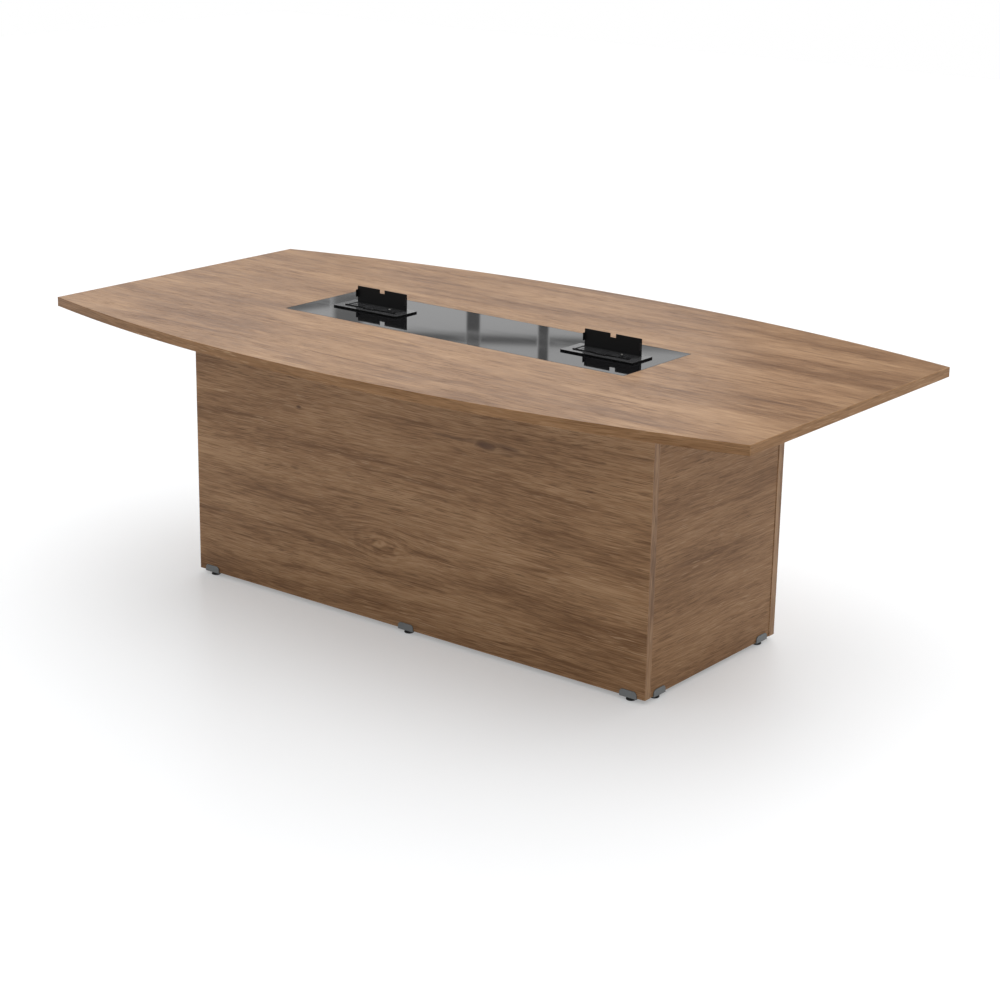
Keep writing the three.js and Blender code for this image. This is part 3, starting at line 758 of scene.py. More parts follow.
@dataclass(frozen=True)
class OakDecor(Finish):
    """Brown oak decor on a board."""

    grain: Grain
    seed: float
    tone: float = 0.0
    waviness: float = 0.035
    banding: float = 0.8
    contrast: float = 1.0
    banded_end: float = 0.0
    foil: bool = False
    knots: tuple[Knot, ...] = ()
    dark: Colour = (0.142, 0.066, 0.0245)
    middle: Colour = (0.258, 0.140, 0.065)
    light: Colour = (0.360, 0.213, 0.110)
    pore: Colour = (0.066, 0.030, 0.012)
    fleck: Colour = (0.470, 0.310, 0.180)
    heart: Colour = (0.050, 0.020, 0.010)
    stops: tuple[float, float, float] = (0.1, 0.5, 0.9)
    pore_weight: float = 0.6
    fleck_weight: float = 0.5
    rub_width: float = 2.2 * MM
    rub_weight: float = 0.25
    specular: float = 0.21
    gloss: float = 0.30
    pore_gloss: float = 0.16
    tone_gloss: float = 0.06
    pore_depth: float = 0.15 * MM
    relief: float = 0.5

    def oriented(self, on: Surface) -> bpy.types.NodeSocket:
        """Turns the coordinates along, across and through the grain.

        Args:
            on: The surface.

        Returns:
            The turned coordinates. A banded end has its grain upright, and a foil has the same
            grain right through.
        """
        sheet = on.sheet
        parts = sheet.split(on.place)
        along, across, through = [parts[axis] for axis in self.grain.value]
        turned = sheet.join(along, across, 0.0 if self.foil else through)
        if not self.banded_end:
            return turned
        upright = sheet.join(*[parts[axis] for axis in Grain.ALONG_HEIGHT.value])
        reach = sheet.math("ABSOLUTE", parts[0])
        return sheet.choose(sheet.math("GREATER_THAN", reach, self.banded_end), turned, upright)

    def dress(self, on: Surface) -> None:
        """Colours the figure and the knots, and opens the pores.

        Args:
            on: The surface that takes the finish.
        """
        sheet = on.sheet
        vector = self.oriented(on)
        swirls: list[tuple[Knot, Made]] = []
        for knot in self.knots:
            feeds = {
                "Vector": vector,
                "Centre": (knot.along, knot.across, 0.0),
                "Length": knot.length,
                "Width": knot.width,
                "Pull": knot.pull,
            }
            swirl = sheet.place(KnotSwirl(), feeds)
            vector = swirl["Vector"]
            swirls.append((knot, swirl))
        feeds = {
            "Vector": vector,
            "Seed": self.seed,
            "Waviness": self.waviness,
            "Banding": self.banding,
        }
        figure = sheet.place(OakFigure(), feeds)
        tone = sheet.centred(figure["Tone"])
        tone = sheet.math("MULTIPLY_ADD", tone, self.contrast, NOISE_MEAN + self.tone)
        for knot, swirl in swirls:
            tone = sheet.math("MULTIPLY_ADD", swirl["Rings"], knot.rings, tone)
        shades = (self.dark, self.middle, self.light)
        colour = sheet.ramp(tone, tuple(zip(self.stops, shades)))
        colour = sheet.tint(colour, figure["Pores"], self.pore_weight, self.pore)
        colour = sheet.tint(colour, figure["Flecks"], self.fleck_weight, self.fleck)
        for knot, swirl in swirls:
            colour = sheet.tint(colour, swirl["Heart"], knot.heart, self.heart)
        colour = sheet.tint(colour, on.edge_marks(self.rub_width), self.rub_weight, self.light)
        on.feed("Base Color", colour)
        gloss = sheet.math("MULTIPLY_ADD", figure["Pores"], self.pore_gloss, self.gloss)
        on.feed("Roughness", sheet.math("MULTIPLY_ADD", tone, self.tone_gloss, gloss))
        on.feed("Specular IOR Level", self.specular)
        on.feed("Normal", sheet.bump(figure["Height"], self.pore_depth, self.relief))


@dataclass(frozen=True)
class BlackGlass(Finish):
    """Gloss black glass, painted underneath."""

    colour: Colour = (0.004, 0.004, 0.0045)
    haze: Colour = (0.020, 0.020, 0.021)
    index: float = 1.45
    polish: float = 0.036
    wipe_gloss: float = 0.02
    dust_weight: float = 0.5
    rub_weight: float = 0.6
    rub_width: float = 1.2 * MM

    def dress(self, on: Surface) -> None:
        """Leaves the glass dark and clear, with a little dust and wiping.

        Args:
            on: The surface that takes the finish.
        """
        sheet = on.sheet
        marks = sheet.place(Smudge(), {"Vector": on.place})
        film = sheet.math("MULTIPLY", marks["Dust"], self.dust_weight)
        film = sheet.math("MULTIPLY_ADD", on.edge_marks(self.rub_width), self.rub_weight, film)
        on.feed("Base Color", sheet.blend(film, rgba(self.colour), rgba(self.haze)))
        gloss = sheet.math("MULTIPLY_ADD", marks["Wipes"], self.wipe_gloss, self.polish)
        on.feed("Roughness", gloss)
        on.feed("IOR", self.index)


@dataclass(frozen=True)
class CoatedMetal(Finish):
    """Sheet metal under a speckled coat, with an edge tone: wear and a painted highlight on satin
    black, painted shade on bracket grey.
    """

    colour: Colour
    edge_tone: Colour
    roughness: float
    specular: float
    cells: float = 2600.0
    relief: float = 0.25
    rub_width: float = 0.9 * MM
    lacquer: float = 0.0
    lacquer_roughness: float = 0.10
    lacquer_index: float = 1.45
    lacquer_depth: float = 0.1 * MM
    # Painted shade: the outer flanks are near black; painted light: the inner cut edges are a pale
    # grey.
    flank_painted_shade: Colour = (0.003, 0.003, 0.003)
    flank_depth: float = 1.0 * MM
    inner_wall_painted_light: Colour = (0.085, 0.086, 0.088)
    patch_lift: float = 1.35
    rub_weight: float = 0.55
    wipe_gloss: float = 0.06
    speckle_gloss: float = 0.05
    speckle_height: float = 0.03 * MM

    def dress(self, on: Surface) -> None:
        """Lays the coat, tints its edges and lacquers its upper face, with painted shade on the
        outer flanks and painted light on the inner walls below it.

        Args:
            on: The surface that takes the finish.
        """
        sheet = on.sheet
        coat = sheet.place(FineMottle(), {"Vector": on.place, "Cells": self.cells})
        marks = sheet.place(Smudge(), {"Vector": on.place})
        paler = tuple(min(1.0, part * self.patch_lift) for part in self.colour)
        colour = sheet.blend(coat["Patches"], rgba(self.colour), rgba(paler))
        # Edge tone: wear with a painted highlight on satin black, painted shade on bracket grey.
        colour = sheet.tint(colour, on.edge_marks(self.rub_width), self.rub_weight, self.edge_tone)
        if self.lacquer:
            height = sheet.split(on.place)[2]
            upper = sheet.math("GREATER_THAN", height, on.high.z - self.lacquer_depth)
            # Below the lacquer: painted shade on the outer flanks, painted light on the inner cut
            # edges.
            colour = sheet.blend(upper, self.below(on), colour)
            on.feed("Coat Weight", sheet.math("MULTIPLY", upper, self.lacquer))
            on.feed("Coat Roughness", self.lacquer_roughness)
            on.feed("Coat IOR", self.lacquer_index)
        on.feed("Base Color", colour)
        gloss = sheet.math("MULTIPLY_ADD", marks["Wipes"], self.wipe_gloss, self.roughness)
        on.feed("Roughness", sheet.math("MULTIPLY_ADD", coat["Speckle"], self.speckle_gloss, gloss))
        on.feed("Specular IOR Level", self.specular)
        on.feed("Normal", sheet.bump(coat["Speckle"], self.speckle_height, self.relief))

    def below(self, on: Surface) -> bpy.types.NodeSocket:
        """The colour below a lacquered face: painted shade, near black, on the outer flanks, and
        painted light, a pale grey, on the inner cut edges.

        Args:
            on: The surface.

        Returns:
            The colour's socket.
        """
        sheet = on.sheet
        x, y, _ = sheet.split(on.place)
        middle = (on.low + on.high) / 2
        reach = (on.high - on.low) / 2
        past_x = sheet.math("COMPARE", x, middle.x, reach.x - self.flank_depth)
        past_y = sheet.math("COMPARE", y, middle.y, reach.y - self.flank_depth)
        inside = sheet.math("MULTIPLY", past_x, past_y)
        return sheet.blend(inside, rgba(self.flank_painted_shade), rgba(self.inner_wall_painted_light))


@dataclass(frozen=True)
class MouldedPlastic(Finish):
    """Moulded plastic or rubber with a fine-grained skin."""

    colour: Colour
    worn: Colour
    roughness: float
    specular: float = 0.35
    cells: float = 1500.0
    relief: float = 0.5
    skin_height: float = 0.05 * MM
    patch_weight: float = 0.3
    patch_gloss: float = 0.12
    rub_weight: float = 0.4
    rub_width: float = 0.8 * MM

    def dress(self, on: Surface) -> None:
        """Gives the plastic its skin and its wear.

        Args:
            on: The surface that takes the finish.
        """
        sheet = on.sheet
        skin = sheet.place(FineMottle(), {"Vector": on.place, "Cells": self.cells})
        wear = sheet.math("MULTIPLY", skin["Patches"], self.patch_weight)
        wear = sheet.math("MULTIPLY_ADD", on.edge_marks(self.rub_width), self.rub_weight, wear)
        on.feed("Base Color", sheet.blend(wear, rgba(self.colour), rgba(self.worn)))
        gloss = sheet.math("MULTIPLY_ADD", skin["Patches"], self.patch_gloss, self.roughness)
        on.feed("Roughness", gloss)
        on.feed("Specular IOR Level", self.specular)
        on.feed("Normal", sheet.bump(skin["Speckle"], self.skin_height, self.relief))


@dataclass(frozen=True)
class PlatedSteel(Finish):
    """Zinc- or nickel-plated steel."""

    colour: Colour = (0.52, 0.53, 0.55)
    shade: Colour = (0.30, 0.31, 0.33)
    roughness: float = 0.28
    spangle_gloss: float = 0.2
    cloud_range: tuple[float, float] = (0.35, 0.70)
    rub_weight: float = 0.5
    rub_width: float = 0.6 * MM
    line_height: float = 0.02 * MM
    relief: float = 0.4

    def dress(self, on: Surface) -> None:
        """Plates the steel, with drawn lines and a spangle.

        Args:
            on: The surface that takes the finish.
        """
        sheet = on.sheet
        drawn = sheet.place(BrushLines(), {"Vector": on.place})
        cloud = sheet.ease(drawn["Spangle"], *self.cloud_range)
        colour = sheet.blend(cloud, rgba(self.colour), rgba(self.shade))
        colour = sheet.tint(colour, on.edge_marks(self.rub_width), self.rub_weight, self.colour)
        on.feed("Base Color", colour)
        on.feed("Metallic", 1.0)
        least = self.roughness - self.spangle_gloss * NOISE_MEAN
        gloss = sheet.math("MULTIPLY_ADD", drawn["Spangle"], self.spangle_gloss, least)
        on.feed("Roughness", gloss)
        on.feed("Normal", sheet.bump(drawn["Lines"], self.line_height, self.relief))


SATIN_BLACK = CoatedMetal(
    colour=(0.0055, 0.0055, 0.0057),
    # Paler edge tone: edge wear and a painted edge highlight.
    edge_tone=(0.030, 0.030, 0.031),
    roughness=0.40,
    specular=0.14,
)
GLOSS_BLACK = CoatedMetal(
    colour=(0.027, 0.027, 0.028),
    edge_tone=(0.030, 0.030, 0.031),
    roughness=0.40,
    specular=0.06,
    relief=0.08,
    # Its lacquer brings painted shade on the outer flanks and painted light on the inner cut edges.
    lacquer=1.0,
)
BRACKET_GREY = CoatedMetal(
    colour=(0.128, 0.135, 0.138),
    # Dark edge tone: painted shade on the plate's edges.
    edge_tone=(0.030, 0.032, 0.034),
    roughness=0.42,
    specular=0.40,
    cells=1800.0,
)
SOCKET_BLACK = MouldedPlastic(
    colour=(0.026, 0.026, 0.027),
    worn=(0.034, 0.034, 0.035),
    roughness=0.08,
    specular=0.42,
    relief=0.1,
)
WELL_BLACK = MouldedPlastic(
    colour=(0.012, 0.012, 0.013),
    worn=(0.035, 0.035, 0.037),
    roughness=0.42,
)
SEAL_RUBBER = MouldedPlastic(
    colour=(0.003, 0.003, 0.003),
    worn=(0.008, 0.008, 0.008),
    roughness=0.60,
    specular=0.05,
)
GLIDE_BLACK = MouldedPlastic(
    colour=(0.007, 0.007, 0.007),
    worn=(0.030, 0.030, 0.030),
    roughness=0.50,
)
ZINC = PlatedSteel()
NICKEL = PlatedSteel(colour=(0.68, 0.66, 0.61), shade=(0.45, 0.43, 0.39), roughness=0.22)
SATIN_NICKEL = PlatedSteel(colour=(0.70, 0.69, 0.66), shade=(0.55, 0.54, 0.51), roughness=0.50)


class Bench:
    """Modelling by operators, with nothing else selected; its angles are in degrees."""

    SMOOTH = 35.0
    SHARP = 50.0
    FLAT = 1.0

    @staticmethod
    def clear() -> None:
        """Leaves edit mode and deselects everything."""
        if bpy.context.object and bpy.context.object.mode != "OBJECT":
            bpy.ops.object.mode_set(mode="OBJECT")
        bpy.ops.object.select_all(action="DESELECT")

    @staticmethod
    def take(piece: bpy.types.Object) -> None:
        """Makes one piece the only one selected, and active.

        Args:
            piece: The piece.
        """
        Bench.clear()
        piece.select_set(True)
        bpy.context.view_layer.objects.active = piece

    @staticmethod
    def started(name: str) -> bpy.types.Object:
        """Names the primitive just added and puts its place in its mesh.

        Args:
            name: The piece's name.

        Returns:
            The new object.
        """
        piece = bpy.context.object
        piece.name = name
        piece.data.name = name
        bpy.ops.object.transform_apply(location=True, rotation=True, scale=True)
        return piece

    @staticmethod
    def disc(name: str, radius: float, height: float, sides: int) -> bpy.types.Object:
        """A closed round start that stands on z = 0.

        Args:
            name: The piece's name.
            radius: Its radius.
            height: Its height.
            sides: How many sides it has.

        Returns:
            The new object.
        """
        Bench.clear()
        bpy.ops.mesh.primitive_cylinder_add(
            vertices=sides,
            radius=radius,
            depth=height,
            end_fill_type="NGON",
            location=(0.0, 0.0, height / 2),
        )
        return Bench.started(name)

    @staticmethod
    def block(name: str, size: Sequence[float], centre: Sequence[float]) -> bpy.types.Object:
        """A box start.

        Args:
            name: The piece's name.
            size: Its three lengths.
            centre: Its middle.

        Returns:
            The new object.
        """
        Bench.clear()
        bpy.ops.mesh.primitive_cube_add(size=1.0, location=centre, scale=size)
        return Bench.started(name)

    @staticmethod
    def sheet(name: str, length: float, width: float) -> bpy.types.Object:
        """A flat rectangle start on z = 0.

        Args:
            name: The piece's name.
            length: Its length along x.
            width: Its width along y.

        Returns:
            The new object.
        """
        Bench.clear()
        bpy.ops.mesh.primitive_plane_add(size=1.0)
        bpy.context.object.scale = (length, width, 1.0)
        return Bench.started(name)

    @staticmethod
    @contextmanager
    def editing(piece: bpy.types.Object, mode: str = "FACE") -> Iterator[None]:
        """Edit mode on one piece, with nothing selected in it.

        Args:
            piece: The piece.
            mode: What is selected: VERT, EDGE or FACE.

        Yields:
            Nothing; operators act on the piece meanwhile.
        """
        Bench.take(piece)
        bpy.ops.object.mode_set(mode="EDIT")
        bpy.ops.mesh.select_mode(type=mode)
        bpy.ops.mesh.select_all(action="DESELECT")
        yield
        bpy.ops.object.mode_set(mode="OBJECT")

    @staticmethod
    def pick_faces(piece: bpy.types.Object, test: Callable[[Vector, Vector], bool]) -> None:
        """Selects the faces whose middle and normal pass a test.

        Args:
            piece: The piece in edit mode.
            test: Takes a face's middle and normal.
        """
        mesh = bmesh.from_edit_mesh(piece.data)
        mesh.normal_update()
        for face in mesh.faces:
            face.select_set(test(face.calc_center_median(), face.normal))
        bmesh.update_edit_mesh(piece.data)

    @staticmethod
    def pick_edges(piece: bpy.types.Object, test: Callable[[Vector, Vector], bool]) -> None:
        """Selects the edges whose two ends pass a test.

        Args:
            piece: The piece in edit mode.
            test: Takes an edge's two ends.
        """
        mesh = bmesh.from_edit_mesh(piece.data)
        for edge in mesh.edges:
            edge.select_set(test(edge.verts[0].co, edge.verts[1].co))
        bmesh.update_edit_mesh(piece.data)

    @staticmethod
    def extrude(x: float = 0.0, y: float = 0.0, z: float = 0.0) -> None:
        """Extrudes what is selected by an offset."""
        bpy.ops.mesh.extrude_region_move(TRANSFORM_OT_translate={"value": (x, y, z)})

    @staticmethod
    def apply(piece: bpy.types.Object, kind: str, **settings: object) -> None:
        """Adds a modifier and applies it.

        Args:
            piece: The piece.
            kind: Blender's name of the modifier type.
            settings: Properties of the modifier, by name.
        """
        Bench.take(piece)
        modifier = piece.modifiers.new(kind.lower(), kind)
        for name, value in settings.items():
            setattr(modifier, name, value)
        bpy.ops.object.modifier_apply(modifier=modifier.name)

    @staticmethod
    def cut(piece: bpy.types.Object, cutter: bpy.types.Object) -> None:
        """Cuts one shape out of a piece and discards the cutter.

        Args:
            piece: The piece.
            cutter: The shape that is cut out.
        """
        Bench.apply(piece, "BOOLEAN", operation="DIFFERENCE", object=cutter, solver="EXACT")
        Bench.discard(cutter)

    @staticmethod
    def smooth(piece: bpy.types.Object) -> None:
        """Shades a piece smoothly, apart from its sharper edges."""
        Bench.take(piece)
        bpy.ops.object.shade_smooth_by_angle(angle=math.radians(Bench.SMOOTH))

    @staticmethod
    def close(piece: bpy.types.Object) -> None:
        """Merges doubles and turns all faces outwards.

        Args:
            piece: The piece.
        """
        with Bench.editing(piece, "VERT"):
            bpy.ops.mesh.select_all(action="SELECT")
            bpy.ops.mesh.remove_doubles(threshold=TOUCH)
            bpy.ops.mesh.normals_make_consistent(inside=False)

    @staticmethod
    def join(pieces: Sequence[bpy.types.Object]) -> None:
        """Joins pieces into the first of them.

        Args:
            pieces: One or more pieces.
        """
        Bench.take(pieces[0])
        for piece in pieces[1:]:
            piece.select_set(True)
        if len(pieces) > 1:
            bpy.ops.object.join()

    @staticmethod
    def repeat(pattern: bpy.types.Object, name: str, places: Sequence[Matrix]) -> bpy.types.Object:
        """Copies a pattern to several places and joins the copies into one piece.

        Args:
            pattern: What is copied.
            name: The new piece's name.
            places: Where each copy goes.

        Returns:
            The joined piece.
        """
        copies = []
        for place in places:
            copy = bpy.data.objects.new(name, pattern.data.copy())
            copy.data.transform(place)
            bpy.context.scene.collection.objects.link(copy)
            copies.append(copy)
        Bench.join(copies)
        copies[0].name = name
        copies[0].data.name = name
        return copies[0]

    @staticmethod
    def discard(piece: bpy.types.Object) -> None:
        """Removes a pattern or a cutter that has done its work."""
        bpy.data.objects.remove(piece, do_unlink=True)

    @staticmethod
    def merged(node: bpy.types.Object, name: str) -> bpy.types.Object:
        """A copy of a CAD node whose loose triangles are joined into whole faces.

        Args:
            node: The CAD node's object.
            name: The copy's name.

        Returns:
            The merged copy.
        """
        piece = bpy.data.objects.new(name, node.data.copy())
        piece.data.materials.clear()
        bpy.context.scene.collection.objects.link(piece)
        with Bench.editing(piece, "VERT"):
            bpy.ops.mesh.select_all(action="SELECT")
            bpy.ops.mesh.remove_doubles(threshold=TOUCH)
            bpy.ops.mesh.dissolve_limited(angle_limit=math.radians(Bench.FLAT))
            bpy.ops.mesh.normals_make_consistent(inside=False)
        return piece

    @staticmethod
    def rounded(node: bpy.types.Object, name: str, radius: float) -> bpy.types.Object:
        """A copy of a CAD node with its sharp edges rounded.

        Args:
            node: The CAD node's object.
            name: The copy's name.
            radius: How far the rounding reaches.

        Returns:
            The rounded copy.
        """
        piece = Bench.merged(node, name)
        Bench.apply(
            piece,
            "BEVEL",
            width=radius,
            segments=2,
            limit_method="ANGLE",
            angle_limit=math.radians(Bench.SHARP),
        )
        Bench.smooth(piece)
        Bench.apply(piece, "WEIGHTED_NORMAL", keep_sharp=True)
        return piece


@dataclass
class Workshop:
    """The loaded frame, and the ways pieces are dressed and seated on it."""

    frame: dict
    made: list[str] = field(default_factory=list)

    def node(self, name: str) -> bpy.types.Object:
        """The object of a CAD node."""
        return self.frame["nodes"][name]

    def dress(self, name: str, finish: Finish) -> None:
        """Gives a CAD node its finish.

        Args:
            name: The node.
            finish: Its finish.
        """
        node = self.node(name)
        material = finish.material(name, *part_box(name))
        if not node.material_slots:
            node.data.materials.append(material)
        for slot in node.material_slots:
            slot.material = material
        LOG.info("dressed %s", name)

    def seat(self, piece: bpy.types.Object, body: str, finish: Finish, slot: Slot) -> None:
        """Finishes a new piece and seats it on its body.

        Args:
            piece: The new piece, in place.
            body: The body that it rides on.
            finish: Its finish.
            slot: The record's slot that it belongs to; not used.
        """
        corners = [Vector(corner) for corner in piece.bound_box]
        low = Vector([min(corner[axis] for corner in corners) for axis in range(3)])
        high = Vector([max(corner[axis] for corner in corners) for axis in range(3)])
        piece.data.materials.clear()
        piece.data.materials.append(finish.material(piece.name, low, high))
        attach(piece, body)
        self.made.append(piece.name)
        LOG.info("made %s on %s", piece.name, body)

    def soften(self, name: str, body: str, radius: float, finish: Finish, slot: Slot) -> None:
        """Stands a rounded copy in for a CAD node.

        Args:
            name: The node.
            body: The body that it rides on.
            radius: How far the rounding reaches.
            finish: Its finish.
            slot: The record's slot that it belongs to.
        """
        piece = Bench.rounded(self.node(name), f"{name}_rounded", radius)
        self.seat(piece, body, finish, slot)
        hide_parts(name)


class SubAssembly(ABC):
    """Pieces of the table that are modelled and dressed together, with lengths in metres."""

    @abstractmethod
    def build(self, shop: Workshop) -> None:
        """Models the new pieces.

        Args:
            shop: The workshop.
        """

    @abstractmethod
    def dress(self, shop: Workshop) -> None:
        """Gives the CAD pieces their finishes.

        Args:
            shop: The workshop.
        """


@dataclass(frozen=True)
class PanScrew:
    """A pan-head screw with a cross recess; only its head shows.

    The dome and the recess's depth are shares of the height, its width and length of the radius.
    """

    radius: float
    height: float
    sides: int = 24
    dome: float = 0.55
    recess_width: float = 0.24
    recess_length: float = 1.1
    recess_depth: float = 0.9

    def pattern(self) -> bpy.types.Object:
        """Models the head on z = 0, with its recess upwards.

        Returns:
            The pattern, to be copied.
        """
        head = Bench.disc("screw_pattern", self.radius, self.height, self.sides)
        top = self.height - TOUCH
        with Bench.editing(head, "EDGE"):
            Bench.pick_edges(head, lambda a, b: a.z > top and b.z > top)
            bpy.ops.mesh.bevel(offset=self.height * self.dome, segments=4, affect="EDGES")
        arm = self.radius * self.recess_width
        reach = self.radius * self.recess_length
        depth = self.height * self.recess_depth
        for size in ((reach, arm, depth), (arm, reach, depth)):
            Bench.cut(head, Bench.block("screw_recess", size, (0.0, 0.0, self.height)))
        Bench.smooth(head)
        return head


@dataclass(frozen=True)
class HexBolt:
    """A hexagon head on a round washer.

    The head's rim and its rounding are shares of the width across its flats, and the washer's
    rounding is a share of its height.
    """

    across: float
    height: float
    washer: float
    washer_height: float
    washer_sides: int = 24
    washer_round: float = 0.3
    rim: float = 0.06
    rim_round: float = 0.03

    def pattern(self) -> bpy.types.Object:
        """Models the washer on z = 0 and the head above it.

        Returns:
            The pattern, to be copied.
        """
        washer = Bench.disc("washer_pattern", self.washer, self.washer_height, self.washer_sides)
        with Bench.editing(washer, "EDGE"):
            Bench.pick_edges(washer, lambda a, b: abs(a.z - b.z) < TOUCH and a.z > TOUCH)
            bpy.ops.mesh.bevel(
                offset=self.washer_height * self.washer_round,
                segments=2,
                affect="EDGES",
            )
        head = Bench.disc("bolt_pattern", self.across / math.sqrt(3.0), self.height, 6)
        top = self.height - TOUCH
        with Bench.editing(head):
            Bench.pick_faces(head, lambda middle, normal: middle.z > top)
            bpy.ops.mesh.inset(thickness=self.across * self.rim, depth=0.0)
            Bench.pick_edges(head, lambda a, b: abs(a.z - b.z) < TOUCH and a.z > top)
            bpy.ops.mesh.bevel(offset=self.across * self.rim_round, segments=2, affect="EDGES")
        head.data.transform(Matrix.Translation((0.0, 0.0, self.washer_height)))
        Bench.join([washer, head])
        Bench.smooth(washer)
        return washer


@dataclass(frozen=True)
class CamFitting:
    """A cam disc with a slot across it, let into a board.

    The rim and the slot's sizes are shares of the radius, and the sink is a share of the height.
    """

    radius: float = 7.5 * MM
    proud: float = 0.6 * MM
    sides: int = 32
    rim: float = 0.16
    sink: float = 0.35
    slot_length: float = 1.1
    slot_width: float = 0.24
    slot_round: float = 0.1

    def pattern(self) -> bpy.types.Object:
        """Models the disc on z = 0.

        Returns:
            The pattern, to be copied.
        """
        disc = Bench.disc("cam_pattern", self.radius, self.proud, self.sides)
        top = self.proud - TOUCH
        with Bench.editing(disc):
            Bench.pick_faces(disc, lambda middle, normal: middle.z > top)
            bpy.ops.mesh.inset(thickness=self.radius * self.rim, depth=0.0)
            Bench.extrude(z=-self.proud * self.sink)
        size = (self.radius * self.slot_length, self.radius * self.slot_width, self.proud)
        slot = Bench.block("cam_slot", size, (0.0, 0.0, self.proud))
        with Bench.editing(slot, "EDGE"):
            Bench.pick_edges(slot, lambda a, b: abs(a.z - b.z) > TOUCH)
            bpy.ops.mesh.bevel(offset=self.radius * self.slot_round, segments=3, affect="EDGES")
        Bench.cut(disc, slot)
        Bench.smooth(disc)
        return disc


@dataclass
class TableTop(SubAssembly):
    """The board, its bands and the glass set into it."""

    joint: float = 1.0 * MM
    joint_play: float = 0.1 * MM
    joint_drop: float = 0.5 * MM
    joint_corner: float = 3.5 * MM
    marks: tuple[Knot, ...] = (
        Knot(0.956, -0.121, length=0.300, width=0.026, pull=0.3, heart=0.20),
        Knot(0.930, -0.118, length=0.160, width=0.010, pull=0.3, heart=0.25),
        Knot(0.570, 0.295, length=0.260, width=0.080, pull=0.3, heart=0.12),
        Knot(0.660, -0.090, length=0.130, width=0.012, pull=0.2, heart=0.22),
        Knot(0.966, -0.362, length=0.060, width=0.010, pull=0.2, heart=0.30),
    )

    def build(self, shop: Workshop) -> None:
        """Models the seal in the joint round the glass.

        Args:
            shop: The workshop.
        """
        low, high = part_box("glass_insert")
        width = self.joint - 2 * self.joint_play
        outer = high - low + Vector((1.0, 1.0, 0.0)) * 2 * (self.joint - self.joint_play)
        seal = Bench.sheet("glass_joint_seal", outer.x, outer.y)
        with Bench.editing(seal, "VERT"):
            bpy.ops.mesh.select_all(action="SELECT")
            bpy.ops.mesh.bevel(offset=self.joint_corner, segments=4, affect="VERTICES")
            bpy.ops.mesh.select_mode(type="FACE")
            bpy.ops.mesh.select_all(action="SELECT")
            bpy.ops.mesh.inset(thickness=width, depth=0.0)
            bpy.ops.mesh.delete(type="FACE")
        depth = high.z - low.z - self.joint_drop
        Bench.apply(seal, "SOLIDIFY", thickness=depth, offset=1.0)
        seal.data.transform(Matrix.Translation((0.0, 0.0, low.z)))
        Bench.close(seal)
        Bench.smooth(seal)
        shop.seat(seal, "table", SEAL_RUBBER, Slot.SEAL_BLACK)

    def dress(self, shop: Workshop) -> None:
        """Gives the boards and the glass their finishes.

        Args:
            shop: The workshop.
        """
        board = OakDecor(
            Grain.FLAT_ALONG_LENGTH,
            seed=1.0,
            waviness=0.03,
            banding=1.2,
            contrast=1.12,
            tone=-0.03,
            knots=self.marks,
        )
        shop.dress("table_top", board)
        for place, grain, seed, tone, specular in (
            ("front", Grain.ALONG_LENGTH, 2.3, -0.09, 0.13),
            ("rear", Grain.ALONG_LENGTH, 3.1, -0.09, 0.13),
            ("left", Grain.ALONG_DEPTH, 4.7, -0.05, 0.06),
            ("right", Grain.ALONG_DEPTH, 5.9, -0.05, 0.06),
        ):
            band = OakDecor(grain, seed, tone, contrast=0.6, specular=specular, foil=True)
            shop.dress(f"edge_band_{place}", band)
        shop.dress("glass_insert", BlackGlass())


